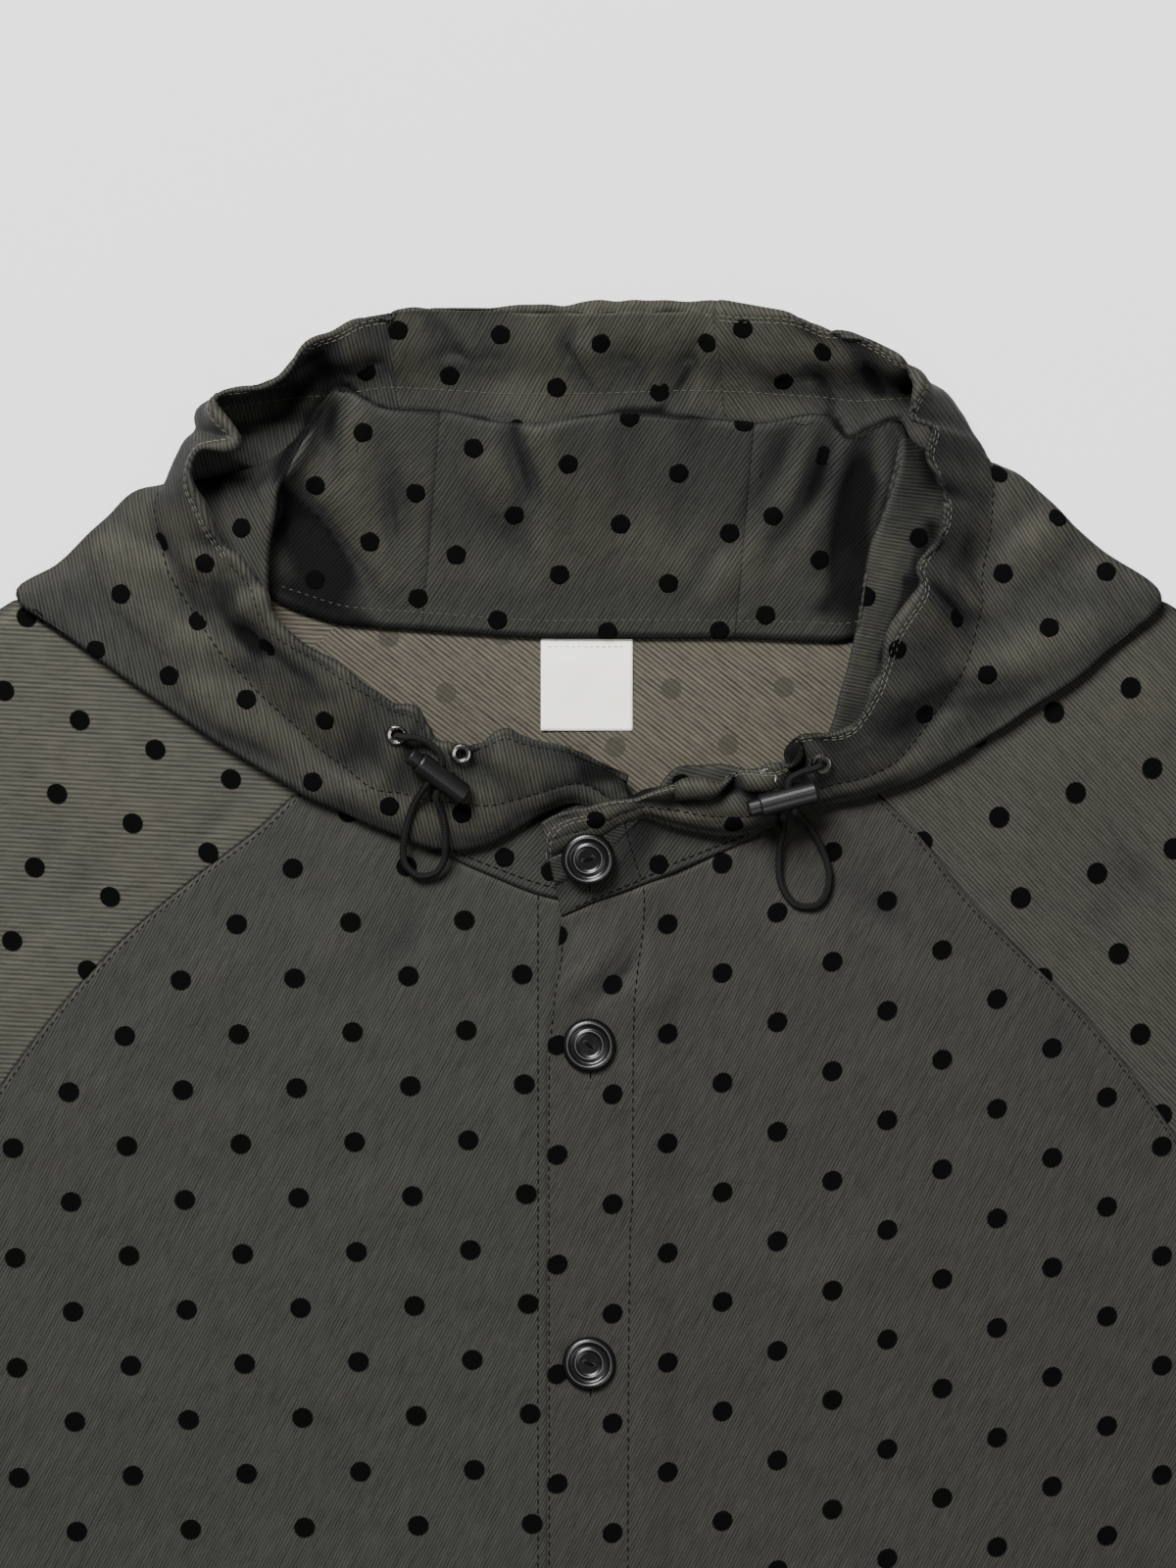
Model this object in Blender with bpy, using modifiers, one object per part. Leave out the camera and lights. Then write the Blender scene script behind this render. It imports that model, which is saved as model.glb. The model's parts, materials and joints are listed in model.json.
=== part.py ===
# Hooded coach jacket, laid flat face up. Run: blender --background --python part.py
# Tables are in millimetres: X to the right of the picture, Y to its top, Z up off the surface.
import math

import bpy
import numpy as np
from mathutils import Matrix, Vector
from mathutils.bvhtree import BVHTree

MM = 0.001
BODY_WALL = 1.2  # shell cloth of body and sleeves
HOOD_WALL = 1.6  # shell and lining of the hood as one wall
SEAM_GAP = 0.4
BACK_Z = 0.6  # middle of the lower layer
FRONT_Z = 2.6  # middle of the upper layer
PLACKET_Z = 4.4  # the right front on the left one
HEM_Y = -423.0
SIDE_X = 308.0
LEFT_EDGE_X = 18.0  # the left front ends under the placket
RIGHT_EDGE_X = -15.8
PLACKET_RAMP = (22.0, 36.0)
RAGLAN_LEFT = 6.6  # places of the seams on the neck, in rows of the hood table
SHOULDER_LEFT = 12.5
BACK_LEFT = 20.0
BACK_RIGHT = 31.7
SHOULDER_RIGHT = 37.5
RAGLAN_RIGHT = 45.1
GUSSET_SEAMS = (23.0, 29.0)
BUTTON_R = 10.2
CORD_R = 1.4

# One row a station round the hood, from the left front end over the back to the right front end.
# seam = neck seam, inner = fold towards the neck, outer = fold at the outside (behind the peak: the hidden
# valley), channel = drawcord stitch, crest = highest line of the edge. turn = degrees that the stack of
# layers has rolled over, roll = radius of the folds, lip = edge beyond the crest.
HOOD_COLUMNS = ("place", "seam_x", "seam_y", "inner_x", "inner_y", "outer_x", "outer_y", "channel_x",
                "channel_y", "crest_x", "crest_y", "seam_z", "inner_z", "outer_z", "channel_z", "crest_z",
                "turn", "roll", "lip")
HOOD_TABLE = [
    ( 0,    18.0,  195.0,    17.6,  208.9,    17.2,  219.4,    16.1,  229.9,    15.0,  241.1,  2.6,  3.3,  4.8,  6.0,  8.5,   0, 0.0,  2.5),
    ( 1,     0.0,  195.0,    -0.8,  230.6,    -1.1,  232.9,    -1.9,  240.4,    -3.4,  250.9,  2.6,  5.8,  6.4,  7.8, 11.0,   0, 0.3,  2.0),
    ( 2,   -18.0,  198.0,   -16.5,  245.6,   -17.2,  229.5,   -18.4,  238.1,   -20.2,  254.6,  2.8,  6.0,  7.2, 11.0, 16.0,   0, 1.5,  2.0),
    ( 3,   -35.6,  204.8,   -34.5,  247.1,   -36.4,  218.2,   -34.9,  233.2,   -33.0,  256.9,  2.8,  6.4,  7.2, 12.0, 19.0,   0, 1.6,  2.0),
    ( 4,   -54.4,  213.4,   -51.0,  247.1,   -53.6,  215.6,   -51.4,  234.0,   -47.2,  252.8,  2.8,  6.8,  7.2, 12.5, 21.0,   0, 1.6,  2.0),
    ( 5,   -74.2,  226.1,   -65.6,  250.9,   -73.1,  221.6,   -68.6,  236.6,   -60.8,  256.5,  2.8,  8.0,  7.2, 12.5, 22.0,   0, 1.6,  2.0),
    ( 6,   -89.2,  238.5,   -79.5,  258.4,   -91.9,  229.1,   -85.5,  241.5,   -73.1,  266.6,  2.8,  9.0,  7.2, 11.5, 24.0,   0, 1.6,  2.0),
    ( 8,  -117.0,  272.2,  -109.5,  281.6,  -131.2,  249.8,  -120.8,  271.9,  -104.2,  286.9,  2.8, 10.0,  7.2, 11.0, 26.0,   0, 1.6,  2.0),
    ( 9,  -126.0,  289.9,  -118.5,  297.4,  -151.5,  263.6,  -135.0,  286.1,  -120.4,  298.9,  2.8, 11.0,  7.2, 11.0, 26.0,   0, 1.6,  2.0),
    (10,  -132.0,  304.1,  -123.0,  310.9,  -183.8,  286.5,  -147.4,  301.9,  -128.6,  314.2,  2.8, 12.0,  7.0, 11.0, 26.0,   0, 1.6,  2.0),
    (11,  -135.4,  315.4,  -123.8,  322.9,  -216.8,  311.2,  -156.0,  315.4,  -136.5,  324.4,  2.8, 13.0,  6.2, 10.5, 26.0,  10, 1.6,  2.0),
    (12,  -135.8,  322.9,  -122.6,  333.4,  -201.8,  324.8,  -161.2,  327.4,  -142.5,  331.5,  2.7, 14.0,  4.2, 11.0, 27.0,  25, 1.6,  2.0),
    (13,  -133.9,  327.4,  -120.0,  345.4,  -184.5,  340.1,  -163.1,  337.9,  -147.8,  341.6,  2.5, 16.0,  3.0, 12.0, 29.0,  45, 1.6,  2.0),
    (14,  -130.9,  324.0,  -117.4,  354.4,  -168.8,  353.2,  -163.5,  349.9,  -152.2,  352.9,  2.4, 18.0,  2.6, 13.0, 31.0,  60, 1.6,  2.0),
    (16,  -122.2,  312.4,  -105.8,  375.4,  -126.8,  356.6,  -153.8,  368.2,  -148.1,  367.9,  2.3, 19.0,  1.2, 12.0, 33.0,  85, 1.8,  2.0),
    (17,  -116.2,  308.6,  -100.1,  384.8,  -108.8,  349.1,  -149.2,  374.6,  -135.8,  370.9,  2.3, 19.5,  1.4, 11.0, 34.0, 100, 1.8,  2.0),
    (18,  -110.2,  306.0,   -94.5,  390.4,   -97.5,  343.5,  -145.5,  381.8,  -142.9,  384.0,  2.3, 20.0,  1.8, 10.0, 33.0, 115, 1.8,  2.0),
    (20,   -95.6,  301.5,   -84.4,  385.1,   -82.5,  337.1,  -114.4,  387.4,  -116.2,  394.9,  2.3, 20.0,  2.4,  6.0, 27.0, 140, 1.8,  2.0),
    (21,   -85.5,  300.4,   -76.5,  382.1,   -75.8,  334.9,   -95.6,  389.2,  -101.2,  409.1,  2.3, 20.0,  2.6,  3.0, 20.0, 155, 1.8,  1.5),
    (23,   -63.4,  298.9,   -56.2,  381.4,   -60.0,  331.9,   -73.5,  391.9,   -75.4,  419.2,  2.3, 21.0,  2.8,  1.3, 12.0, 170, 1.8,  1.5),
    (25,   -20.6,  296.2,   -20.6,  374.6,   -20.6,  329.6,   -30.0,  389.6,   -30.0,  420.4,  2.3, 21.0,  2.8,  1.1, 10.0, 180, 1.8,  1.5),
    (26,     0.0,  295.9,     0.0,  378.8,     0.0,  328.9,    -7.5,  389.6,    -8.2,  420.4,  2.3, 22.0,  2.8,  1.1,  9.0, 180, 1.8,  1.5),
    (27,    20.6,  295.9,    18.8,  380.6,    20.6,  329.2,    11.2,  390.0,    13.5,  420.8,  2.3, 22.0,  2.8,  1.1, 10.0, 180, 1.8,  1.5),
    (29,    56.2,  295.9,    63.0,  376.5,    60.0,  331.9,    51.4,  390.8,    54.8,  420.4,  2.3, 21.0,  2.8,  1.3, 12.0, 170, 1.8,  1.5),
    (31,    87.0,  294.8,    91.1,  379.1,    85.5,  334.9,    87.0,  388.1,    89.2,  413.6,  2.3, 20.0,  2.6,  3.0, 20.0, 155, 1.8,  1.5),
    (32,    98.2,  295.1,    98.2,  371.6,    93.8,  336.4,   104.2,  386.6,   106.5,  408.4,  2.3, 20.0,  2.4,  6.0, 26.0, 140, 1.8,  2.0),
    (34,   118.1,  301.5,   111.4,  376.1,   108.8,  341.6,   133.9,  387.4,   126.0,  393.4,  2.3, 20.0,  1.8, 10.0, 32.0, 115, 1.8,  2.0),
    (35,   126.8,  310.1,   115.5,  378.0,   114.4,  351.0,   142.5,  381.0,   124.9,  384.4,  2.3, 19.5,  1.4, 12.0, 34.0, 100, 1.8,  2.0),
    (36,   132.8,  320.6,   118.1,  376.9,   123.8,  360.4,   147.4,  373.9,   123.8,  379.1,  2.3, 19.0,  1.2, 13.0, 33.0,  85, 1.8,  2.0),
    (37,   135.8,  327.4,   119.2,  369.8,   144.4,  364.1,   151.1,  367.9,   131.6,  375.4,  2.4, 18.0,  2.6, 12.0, 31.0,  60, 1.6,  2.0),
    (38,   137.2,  322.1,   117.4,  357.4,   161.2,  359.6,   152.6,  359.6,   131.2,  364.9,  2.6, 17.0,  3.2, 12.0, 29.0,  45, 1.6,  2.0),
    (39,   136.1,  314.6,   113.2,  343.5,   174.0,  348.8,   153.4,  349.9,   136.9,  351.4,  2.8, 16.0,  4.6, 11.0, 27.0,  25, 1.6,  2.0),
    (40,   133.9,  307.1,   108.8,  330.4,   195.0,  329.6,   152.6,  336.0,   135.0,  337.9,  2.8, 15.0,  6.2, 11.0, 26.0,  10, 1.6,  2.0),
    (41,   131.2,  299.6,   105.8,  315.4,   217.1,  310.9,   150.4,  321.0,   128.2,  325.9,  2.8, 15.0,  7.0, 11.0, 26.0,   0, 1.6,  2.0),
    (42,   126.8,  289.9,   103.5,  301.1,   194.2,  287.6,   148.9,  304.1,   128.6,  314.2,  2.8, 14.0,  7.2, 11.0, 26.0,   0, 1.6,  2.0),
    (43,   120.0,  277.1,   100.9,  288.4,   168.8,  269.6,   145.5,  292.1,   117.8,  296.6,  2.8, 13.0,  7.2, 11.0, 26.0,   0, 1.6,  2.0),
    (44,   111.8,  263.6,    97.1,  274.9,   150.0,  256.9,   138.0,  275.6,   112.5,  280.9,  2.8, 12.0,  7.2, 11.5, 26.0,   0, 1.6,  2.0),
    (45,   100.5,  249.4,    94.5,  264.4,   127.5,  244.1,   120.8,  253.1,   106.5,  267.4,  2.8, 10.0,  7.2, 12.0, 24.0,   0, 1.6,  2.0),
    (46,    88.5,  238.1,    89.2,  254.6,   108.8,  236.6,   105.0,  243.8,    96.4,  257.2,  2.8,  9.0,  7.2, 12.5, 22.0,   0, 1.6,  2.0),
    (47,    75.0,  227.6,    77.2,  248.6,    88.1,  231.4,    85.5,  238.1,    81.8,  254.6,  2.8,  8.0,  7.2, 12.5, 21.0,   0, 1.6,  2.0),
    (48,    60.8,  219.0,    63.0,  245.6,    69.4,  223.5,    69.8,  230.6,    73.9,  244.9,  2.8,  7.0,  7.4, 13.0, 21.0,   0, 1.6,  2.0),
    (49,    45.0,  211.9,    46.5,  247.9,    48.0,  220.9,    48.0,  228.4,    53.2,  244.1,  3.2,  7.2,  8.2, 13.5, 20.0,   0, 1.6, -3.0),
    (50,    30.0,  205.5,    30.8,  245.6,    29.2,  225.4,    28.5,  230.6,    31.5,  245.6,  4.0,  8.4,  9.6, 14.5, 19.0,   0, 1.6, -7.5),
    (51,    15.0,  199.9,    15.0,  225.4,    14.2,  227.6,    14.2,  232.1,    15.0,  241.1,  4.7, 11.0, 11.6, 14.5, 18.0,   0, 0.3, -6.8),
    (52,     1.9,  195.4,     0.8,  208.5,     0.0,  217.9,     0.0,  224.6,     0.0,  235.9,  4.7,  9.0, 12.0, 14.0, 17.0,   0, 0.0, -5.6),
    (53,   -10.1,  190.1,   -12.4,  201.0,   -15.8,  211.1,   -17.2,  217.9,   -17.6,  225.4,  4.7,  7.5, 10.0, 12.0, 14.0,   0, 0.0, -1.5),]

# Front raglan seams from the neck to the underarm: x and y.
RAGLAN_FRONT_LEFT = [(-110.6, 237.4), (-125.6, 223.5), (-150, 204.8), (-176.3, 182.3), (-202.5, 154.1),
                     (-225, 124.1), (-247.5, 90.4), (-266.3, 56.6), (-288.8, 19.1), (-308, 0)]
RAGLAN_FRONT_RIGHT = [(111.4, 235.9), (125.6, 221.6), (146.3, 195.4), (165, 176.6), (183.8, 157.9),
                      (206.3, 131.6), (225, 105.4), (247, 76), (270, 45), (290, 18), (308, 0)]
RAGLAN_BACK = [(-130, 268), (-165, 226), (-200, 176), (-235, 120), (-270, 62), (-308, 0)]
SLEEVE_TOP = [(-217.5, 310.9), (-225, 306.8), (-290, 272), (-370, 222), (-480, 130), (-600, 10),
              (-700, -93), (-778, -173)]
SLEEVE_UNDER = [(-308, 0), (-420, -78), (-555, -175), (-685, -270)]
BUTTON_Y = [140.6, 19.1, -102.4, -223.9, -345.4]  # those on the placket, at x = 0

for old in list(bpy.data.objects):
    bpy.data.objects.remove(old)
garment = bpy.data.collections.new("coach_jacket")
bpy.context.scene.collection.children.link(garment)
helpers = bpy.data.collections.new("cutters")
bpy.context.scene.collection.children.link(helpers)


def material(name, colour, rough):
    made = bpy.data.materials.new(name)
    made.use_nodes = True
    shader = made.node_tree.nodes["Principled BSDF"]
    shader.inputs["Base Color"].default_value = (*colour, 1.0)
    shader.inputs["Roughness"].default_value = rough
    return made


def add_mesh(name, points, faces, colour=(0.05, 0.05, 0.04), rough=0.8, thick=0.0, hidden=False):
    """An object from points in millimetres. thick gives an open surface its wall."""
    data = bpy.data.meshes.new(name)
    data.from_pydata([tuple(float(c) * MM for c in p) for p in points], [], faces)
    data.update()
    made = bpy.data.objects.new(name, data)
    (helpers if hidden else garment).objects.link(made)
    if hidden:
        made.hide_render = True
        made.display_type = "WIRE"
    else:
        data.materials.append(material(name, colour, rough))
    if thick:
        wall = made.modifiers.new("wall", "SOLIDIFY")
        wall.thickness = thick * MM
        wall.offset = 0.0
    return made


def grid_faces(rows, columns, closed=False, flip=False):
    faces = []
    for i in range(rows - 1):
        for j in range(columns if closed else columns - 1):
            k = (j + 1) % columns
            quad = (i * columns + j, i * columns + k, (i + 1) * columns + k, (i + 1) * columns + j)
            faces.append(quad[::-1] if flip else quad)
    return faces


def hermite(xs, ys, at):
    """Smooth curve through the rows of ys, one for each of xs."""
    xs = np.asarray(xs, float)
    ys = np.asarray(ys, float)
    slopes = np.empty_like(ys)
    slopes[1:-1] = (ys[2:] - ys[:-2]) / (xs[2:] - xs[:-2])[:, None]
    slopes[0] = (ys[1] - ys[0]) / (xs[1] - xs[0])
    slopes[-1] = (ys[-1] - ys[-2]) / (xs[-1] - xs[-2])
    at = np.atleast_1d(np.asarray(at, float))
    i = np.clip(np.searchsorted(xs, at, side="right") - 1, 0, len(xs) - 2)
    step = xs[i + 1] - xs[i]
    t = ((at - xs[i]) / step)[:, None]
    step = step[:, None]
    return ((2 * t**3 - 3 * t**2 + 1) * ys[i] + (t**3 - 2 * t**2 + t) * step * slopes[i]
            + (-2 * t**3 + 3 * t**2) * ys[i + 1] + (t**3 - t**2) * step * slopes[i + 1])


def along(points, count):
    """count points spaced evenly along a smooth curve through points."""
    points = np.asarray(points, float)
    steps = np.r_[0, np.cumsum(np.linalg.norm(np.diff(points, axis=0), axis=1))]
    fine = hermite(steps, points, np.linspace(0, steps[-1], 400))
    steps = np.r_[0, np.cumsum(np.linalg.norm(np.diff(fine, axis=0), axis=1))]
    wanted = np.linspace(0, steps[-1], count)
    return np.stack([np.interp(wanted, steps, fine[:, k]) for k in range(points.shape[1])], axis=1)


def unit(vectors):
    return vectors / np.maximum(np.linalg.norm(vectors, axis=-1, keepdims=True), 1e-9)


hood_rows = np.array(HOOD_TABLE, float)


def hood_values(places):
    """The hood table's columns at any place round the neck."""
    values = hermite(hood_rows[:, 0], hood_rows[:, 1:], places)
    return {name: values[:, k] for k, name in enumerate(HOOD_COLUMNS[1:])}


def hood_sections(places):
    """Control points of the wall's middle, from the neck seam to the free edge: places x 15 x 3."""
    v = hood_values(places)
    seam, inner, outer, channel, crest = (
        np.stack([v[k + "_x"], v[k + "_y"], v[k + "_z"]], axis=1)
        for k in ("seam", "inner", "outer", "channel", "crest"))
    ahead, behind = hood_values(np.asarray(places) + 0.3), hood_values(np.asarray(places) - 0.3)
    tangent = unit(np.stack([ahead["inner_x"] - behind["inner_x"] + ahead["channel_x"] - behind["channel_x"],
                             ahead["inner_y"] - behind["inner_y"] + ahead["channel_y"] - behind["channel_y"],
                             0 * v["seam_x"]], axis=1))
    outward = np.stack([-tangent[:, 1], tangent[:, 0], tangent[:, 2]], axis=1)
    turn = np.radians(v["turn"])[:, None]
    stack = np.cos(turn) * np.array([0, 0, 1.0]) + np.sin(turn) * outward
    roll = np.maximum(v["roll"], 0)[:, None]
    first, second = unit(inner - seam), unit(outer - inner)
    third = unit(channel - outer)
    inner_in = inner - (first + stack) * roll
    inner_out = inner - (first - stack) * roll
    outer_in = outer - (second + stack) * roll
    outer_out = outer - (second - stack) * roll
    flat = np.array([1.0, 1.0, 0.0])
    low = np.array([0, 0, 1.0])
    sag = outer_in * low + 0.3 * (inner_out - outer_in) * low
    middle = 0.5 * (inner_out + outer_in) * flat + sag
    folded = np.clip(v["roll"] / 1.5, 0, 1)[:, None]
    middle = folded * middle + (1 - folded) * 0.5 * (inner_out + outer_in)
    rise = seam + 0.45 * (inner_in - seam)
    rise[:, 2] = seam[:, 2] + 0.3 * (inner_in - seam)[:, 2]
    top_mid = 0.5 * (outer_out + channel)
    before_crest = channel + 0.6 * (crest - channel)
    before_crest[:, 2] = channel[:, 2] + 0.68 * (crest - channel)[:, 2]
    inward = unit((crest - channel) * flat)
    lip = v["lip"][:, None]
    edge = crest + inward * lip * 0.8 - low * np.abs(lip) * 0.5
    over = crest + inward * np.clip(lip, -1.5, 1.5) * 0.5 + low * 0.3
    points = [seam, rise, inner_in, inner, inner_out, middle, outer_in, outer, outer_out, top_mid, channel,
              before_crest, crest, over, edge]
    return np.stack(points, axis=1)


SECTION_STOPS = np.array([0, 1, 2, 2.4, 2.8, 3.8, 4.8, 5.2, 5.6, 6.4, 7.2, 8.2, 9.0, 9.25, 9.7])


def hood_surface(places, stops):
    sections = hood_sections(places)
    return np.stack([hermite(SECTION_STOPS, s, stops) for s in sections], axis=0)


def places_between(first, last, extra=True):
    """Table places from first to last, with one more in each wide step."""
    kept = [p for p in hood_rows[:, 0] if first + 0.2 < p < last - 0.2]
    kept = [first, *kept, last]
    wide = [0.5 * (a + b) for a, b in zip(kept, kept[1:]) if extra and b - a > 1.4]
    return np.array(sorted(kept + wide))


def seam_points(first, last):
    """The neck edge of a panel, a point for each station of the hood, moved off its seam by the gap."""
    at = places_between(min(first, last), max(first, last))
    if first > last:
        at = at[::-1]
    v = hood_values(at)
    seam = np.stack([v["seam_x"], v["seam_y"]], axis=1)
    away = unit(seam - np.stack([v["inner_x"], v["inner_y"]], axis=1))
    return seam + away * SEAM_GAP


# ---- hood ----
CLOTH = (0.055, 0.052, 0.043)
STOPS = np.array(sorted([*SECTION_STOPS, 0.5, 1.5, 3.3, 4.3, 6.0, 6.8, 7.7, 8.6]))
HOOD_PARTS = (("hood_side_left", 0.0, GUSSET_SEAMS[0] - 0.01), ("hood_centre", GUSSET_SEAMS[0] + 0.01,
              GUSSET_SEAMS[1] - 0.01), ("hood_side_right", GUSSET_SEAMS[1] + 0.01, 53.0))
hood_points = []
hood_polys = []
for name, first, last in HOOD_PARTS:
    places = places_between(first, last)
    surface = hood_surface(places, STOPS)
    faces = grid_faces(len(places), len(STOPS))
    add_mesh(name, surface.reshape(-1, 3), faces, CLOTH, 0.8, HOOD_WALL)
    hood_polys += [[len(hood_points) + i for i in face] for face in faces]
    hood_points += [Vector(p) for p in surface.reshape(-1, 3)]
hood_tree = BVHTree.FromPolygons(hood_points, hood_polys)


def top_of_hood(x, y):
    """Height of the hood's upper face at x, y, or of the fronts where there is no hood."""
    hit, normal, _, _ = hood_tree.ray_cast(Vector((x, y, 200)), Vector((0, 0, -1)))
    bare = FRONT_Z + BODY_WALL / 2
    if hit is None:
        return bare, Vector((0, 0, 1))
    if normal.z < 0:
        normal = -normal
    return max(bare, hit.z + HOOD_WALL / 2 / max(0.35, normal.z)), normal


# the depth of the hood that is folded away under the inner panel: a rounded wedge
places = np.linspace(GUSSET_SEAMS[0] - 1.0, GUSSET_SEAMS[1] + 1.0, 13)
clear = 1.3 * (HOOD_WALL / 2 + 0.5)


def moved_off(places, stops, side):
    """Points of the hood's wall, moved off it by the clearance: side 1 is up and -1 is down."""
    here = hood_surface(places, stops)
    ahead = unit(hood_surface(places, np.array(stops) + 0.05) - here)
    normal = np.stack([0 * ahead[..., 0], -ahead[..., 2], ahead[..., 1]], axis=-1)
    normal *= np.sign(normal[..., 2:3])
    return here + side * clear * normal


upper = moved_off(places, [0.35, 0.8, 1.2, 1.5], -1)
lower = moved_off(places, [3.6, 4.2], 1)
valley = hood_values(places)["outer_y"] - HOOD_WALL / 2 - 1.2
rings = []
for under, over, edge in zip(upper, lower, valley):
    near = (under[0][0], under[0][1], 0.35)
    far = (over[-1][0], edge, 0.35)
    high = (over[-1][0], edge, 5.2)
    rings.append([near, far, high, *over[::-1], *under[::-1]])
rings = np.array(rings)
size = rings.shape[1]
faces = grid_faces(len(rings), size, closed=True)
faces.append(tuple(range(size - 1, -1, -1)))
faces.append(tuple(range((len(rings) - 1) * size, len(rings) * size)))
add_mesh("hood_tucked_folds", rings.reshape(-1, 3), faces, CLOTH, 0.8)

# ---- body ----
RAGLAN_NODES = 9


def raglan(neck_end, table):
    """The points that a panel and its sleeve share along a raglan seam, from the neck to the underarm."""
    return along(np.vstack([neck_end, table]), RAGLAN_NODES)


def top_edge(*lines):
    points = np.vstack(lines)
    points = points[np.argsort(points[:, 0])]
    return points[np.r_[True, np.diff(points[:, 0]) > 0.05]]


def panel(name, xs, top, height, hem_y, rows=9, lean=None):
    """A panel from columns at xs, each from the hem up to the top edge. lean is the x of the edge's lower
    part, where it stands off the neck's."""
    points = []
    for share in np.linspace(0, 1, rows) ** 0.7:
        for x in xs:
            high = np.interp(x, top[:, 0], top[:, 1])
            y = hem_y + share * (high - hem_y)
            moved = x
            if lean is not None:
                moved += (lean - xs[0]) * np.clip((high - y) / 55, 0, 1) * np.clip((14 - x) / 24, 0, 1)
            points.append((moved, y, height(moved, y)))
    return add_mesh(name, points, grid_faces(rows, len(xs)), CLOTH, 0.8, BODY_WALL)


def side_drop(x):
    """The fronts' side edges come down to the back's."""
    return 0.5 * float(np.clip((abs(x) - SIDE_X + 8) / 8, 0, 1))


def left_height(x, y):
    return FRONT_Z - side_drop(x)


def right_height(x, y):
    share = float(np.clip((PLACKET_RAMP[1] - x) / (PLACKET_RAMP[1] - PLACKET_RAMP[0]), 0, 1))
    return FRONT_Z + (PLACKET_Z - FRONT_Z) * share - side_drop(x)


neck = seam_points(BACK_LEFT, BACK_RIGHT)
back_left = raglan(neck[0], RAGLAN_BACK)
back_right = raglan(neck[-1], [(-x, y) for x, y in RAGLAN_BACK])
top = top_edge(neck, back_left, back_right)
panel("back", top[:, 0], top, lambda x, y: BACK_Z, HEM_Y)

neck = seam_points(0.0, RAGLAN_LEFT)
curve_left = raglan(neck[-1], RAGLAN_FRONT_LEFT)
top = top_edge(neck, curve_left)
xs = np.sort(np.r_[top[:, 0], -SIDE_X + 8])
panel("front_left", xs, top, left_height, HEM_Y)

neck = seam_points(RAGLAN_RIGHT, 53.0)
curve_right = raglan(neck[0], RAGLAN_FRONT_RIGHT)
top = top_edge(neck, curve_right)
xs = np.sort(np.r_[top[:, 0], PLACKET_RAMP, 26.5, 31.0, SIDE_X - 8])
panel("front_right", xs, top, right_height, HEM_Y, lean=RIGHT_EDGE_X)


# ---- sleeves ----
def coons(inner, outer, under, upper, share):
    """A patch between the raglan end, the cuff, the underarm fold and the top fold."""
    s = np.linspace(0, 1, len(under))[:, None, None]
    t = share[None]
    across = (1 - s) * inner[None] + s * outer[None]
    down = (1 - t) * under[:, None] + t * upper[:, None]
    corners = ((1 - s) * (1 - t) * inner[0] + (1 - s) * t * inner[-1] + s * (1 - t) * outer[0]
               + s * t * outer[-1])
    return across + down - corners


def sleeve(name, side, front_raglan, neck_front, neck_back, back_raglan, rows=14):
    """A flattened tube: side is -1 for the left, 1 for the right. The raglans run from the neck to the
    underarm, the neck parts to and from the shoulder point."""
    def end_curve(line, neck_part):
        away = unit(np.gradient(line, axis=0))
        away = np.stack([away[:, 1], -away[:, 0]], axis=1) * -side
        kept = [neck_part[0]]
        for point in neck_part[1:-1]:
            if min(np.linalg.norm(point - kept[-1]), np.linalg.norm(point - neck_part[-1])) > 7:
                kept.append(point)
        return np.vstack([(line + away * SEAM_GAP)[::-1][:-1], kept, neck_part[-1:]])
    mirrored = np.array([-side, 1.0])
    neck_front[-1] += (side * 1.1, 0.0)  # clear of the hood's corner
    neck_back[0] = neck_front[-1]
    shoulder = neck_front[-1]
    upper = along(np.vstack([shoulder, np.array(SLEEVE_TOP) * mirrored]), rows)
    under = along(np.array(SLEEVE_UNDER) * mirrored + np.array([side * 0.5, 0.2]), rows)
    front_end = end_curve(front_raglan, neck_front)
    back_end = end_curve(back_raglan, neck_back[::-1])
    front_end[0] = under[0]
    back_end[0] = under[0]
    patches = []
    for end in (front_end, back_end):
        share = np.r_[0, np.cumsum(np.linalg.norm(np.diff(end, axis=0), axis=1))]
        share = (share / share[-1])[:, None]
        cuff = share * (upper[-1] - under[-1]) + under[-1]
        patches.append(coons(end, cuff, under, upper, share))
    front, back = patches
    fold = (FRONT_Z - BACK_Z) / 2
    points = []
    for i in range(rows):
        row_front, row_back = front[i].copy(), back[i].copy()
        for row in (row_front, row_back):
            row[0] += unit(row[1] - row[0]) * fold
            row[-1] += unit(row[-2] - row[-1]) * fold
        points.append((*under[i], BACK_Z + fold))
        points += [(*p, FRONT_Z) for p in row_front]
        points.append((*upper[i], BACK_Z + fold))
        points += [(*p, BACK_Z) for p in row_back[::-1]]
    around = len(front_end) + len(back_end) + 2
    return add_mesh(name, points, grid_faces(rows, around, closed=True, flip=side > 0), CLOTH, 0.8, BODY_WALL)


STEP_OFF = 0.035  # places between the corner of a panel and that of the sleeve
sleeve("sleeve_left", -1, curve_left, seam_points(RAGLAN_LEFT + STEP_OFF, SHOULDER_LEFT),
       seam_points(SHOULDER_LEFT, BACK_LEFT - STEP_OFF), back_left)
sleeve("sleeve_right", 1, curve_right, seam_points(RAGLAN_RIGHT - STEP_OFF, SHOULDER_RIGHT),
       seam_points(SHOULDER_RIGHT, BACK_RIGHT + STEP_OFF), back_right)

# ---- neck label ----
LABEL = {"left": -18.0, "right": 17.0, "top": 294.2, "bottom": 260.8, "thick": 0.6, "base": 1.5}
columns, rows = 3, 3
points = [(x, y, LABEL["base"] + LABEL["thick"] / 2)
          for y in np.linspace(LABEL["bottom"], LABEL["top"], rows)
          for x in np.linspace(LABEL["left"], LABEL["right"], columns)]
add_mesh("neck_label", points, grid_faces(rows, columns), (0.75, 0.75, 0.7), 0.7, LABEL["thick"])


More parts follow.
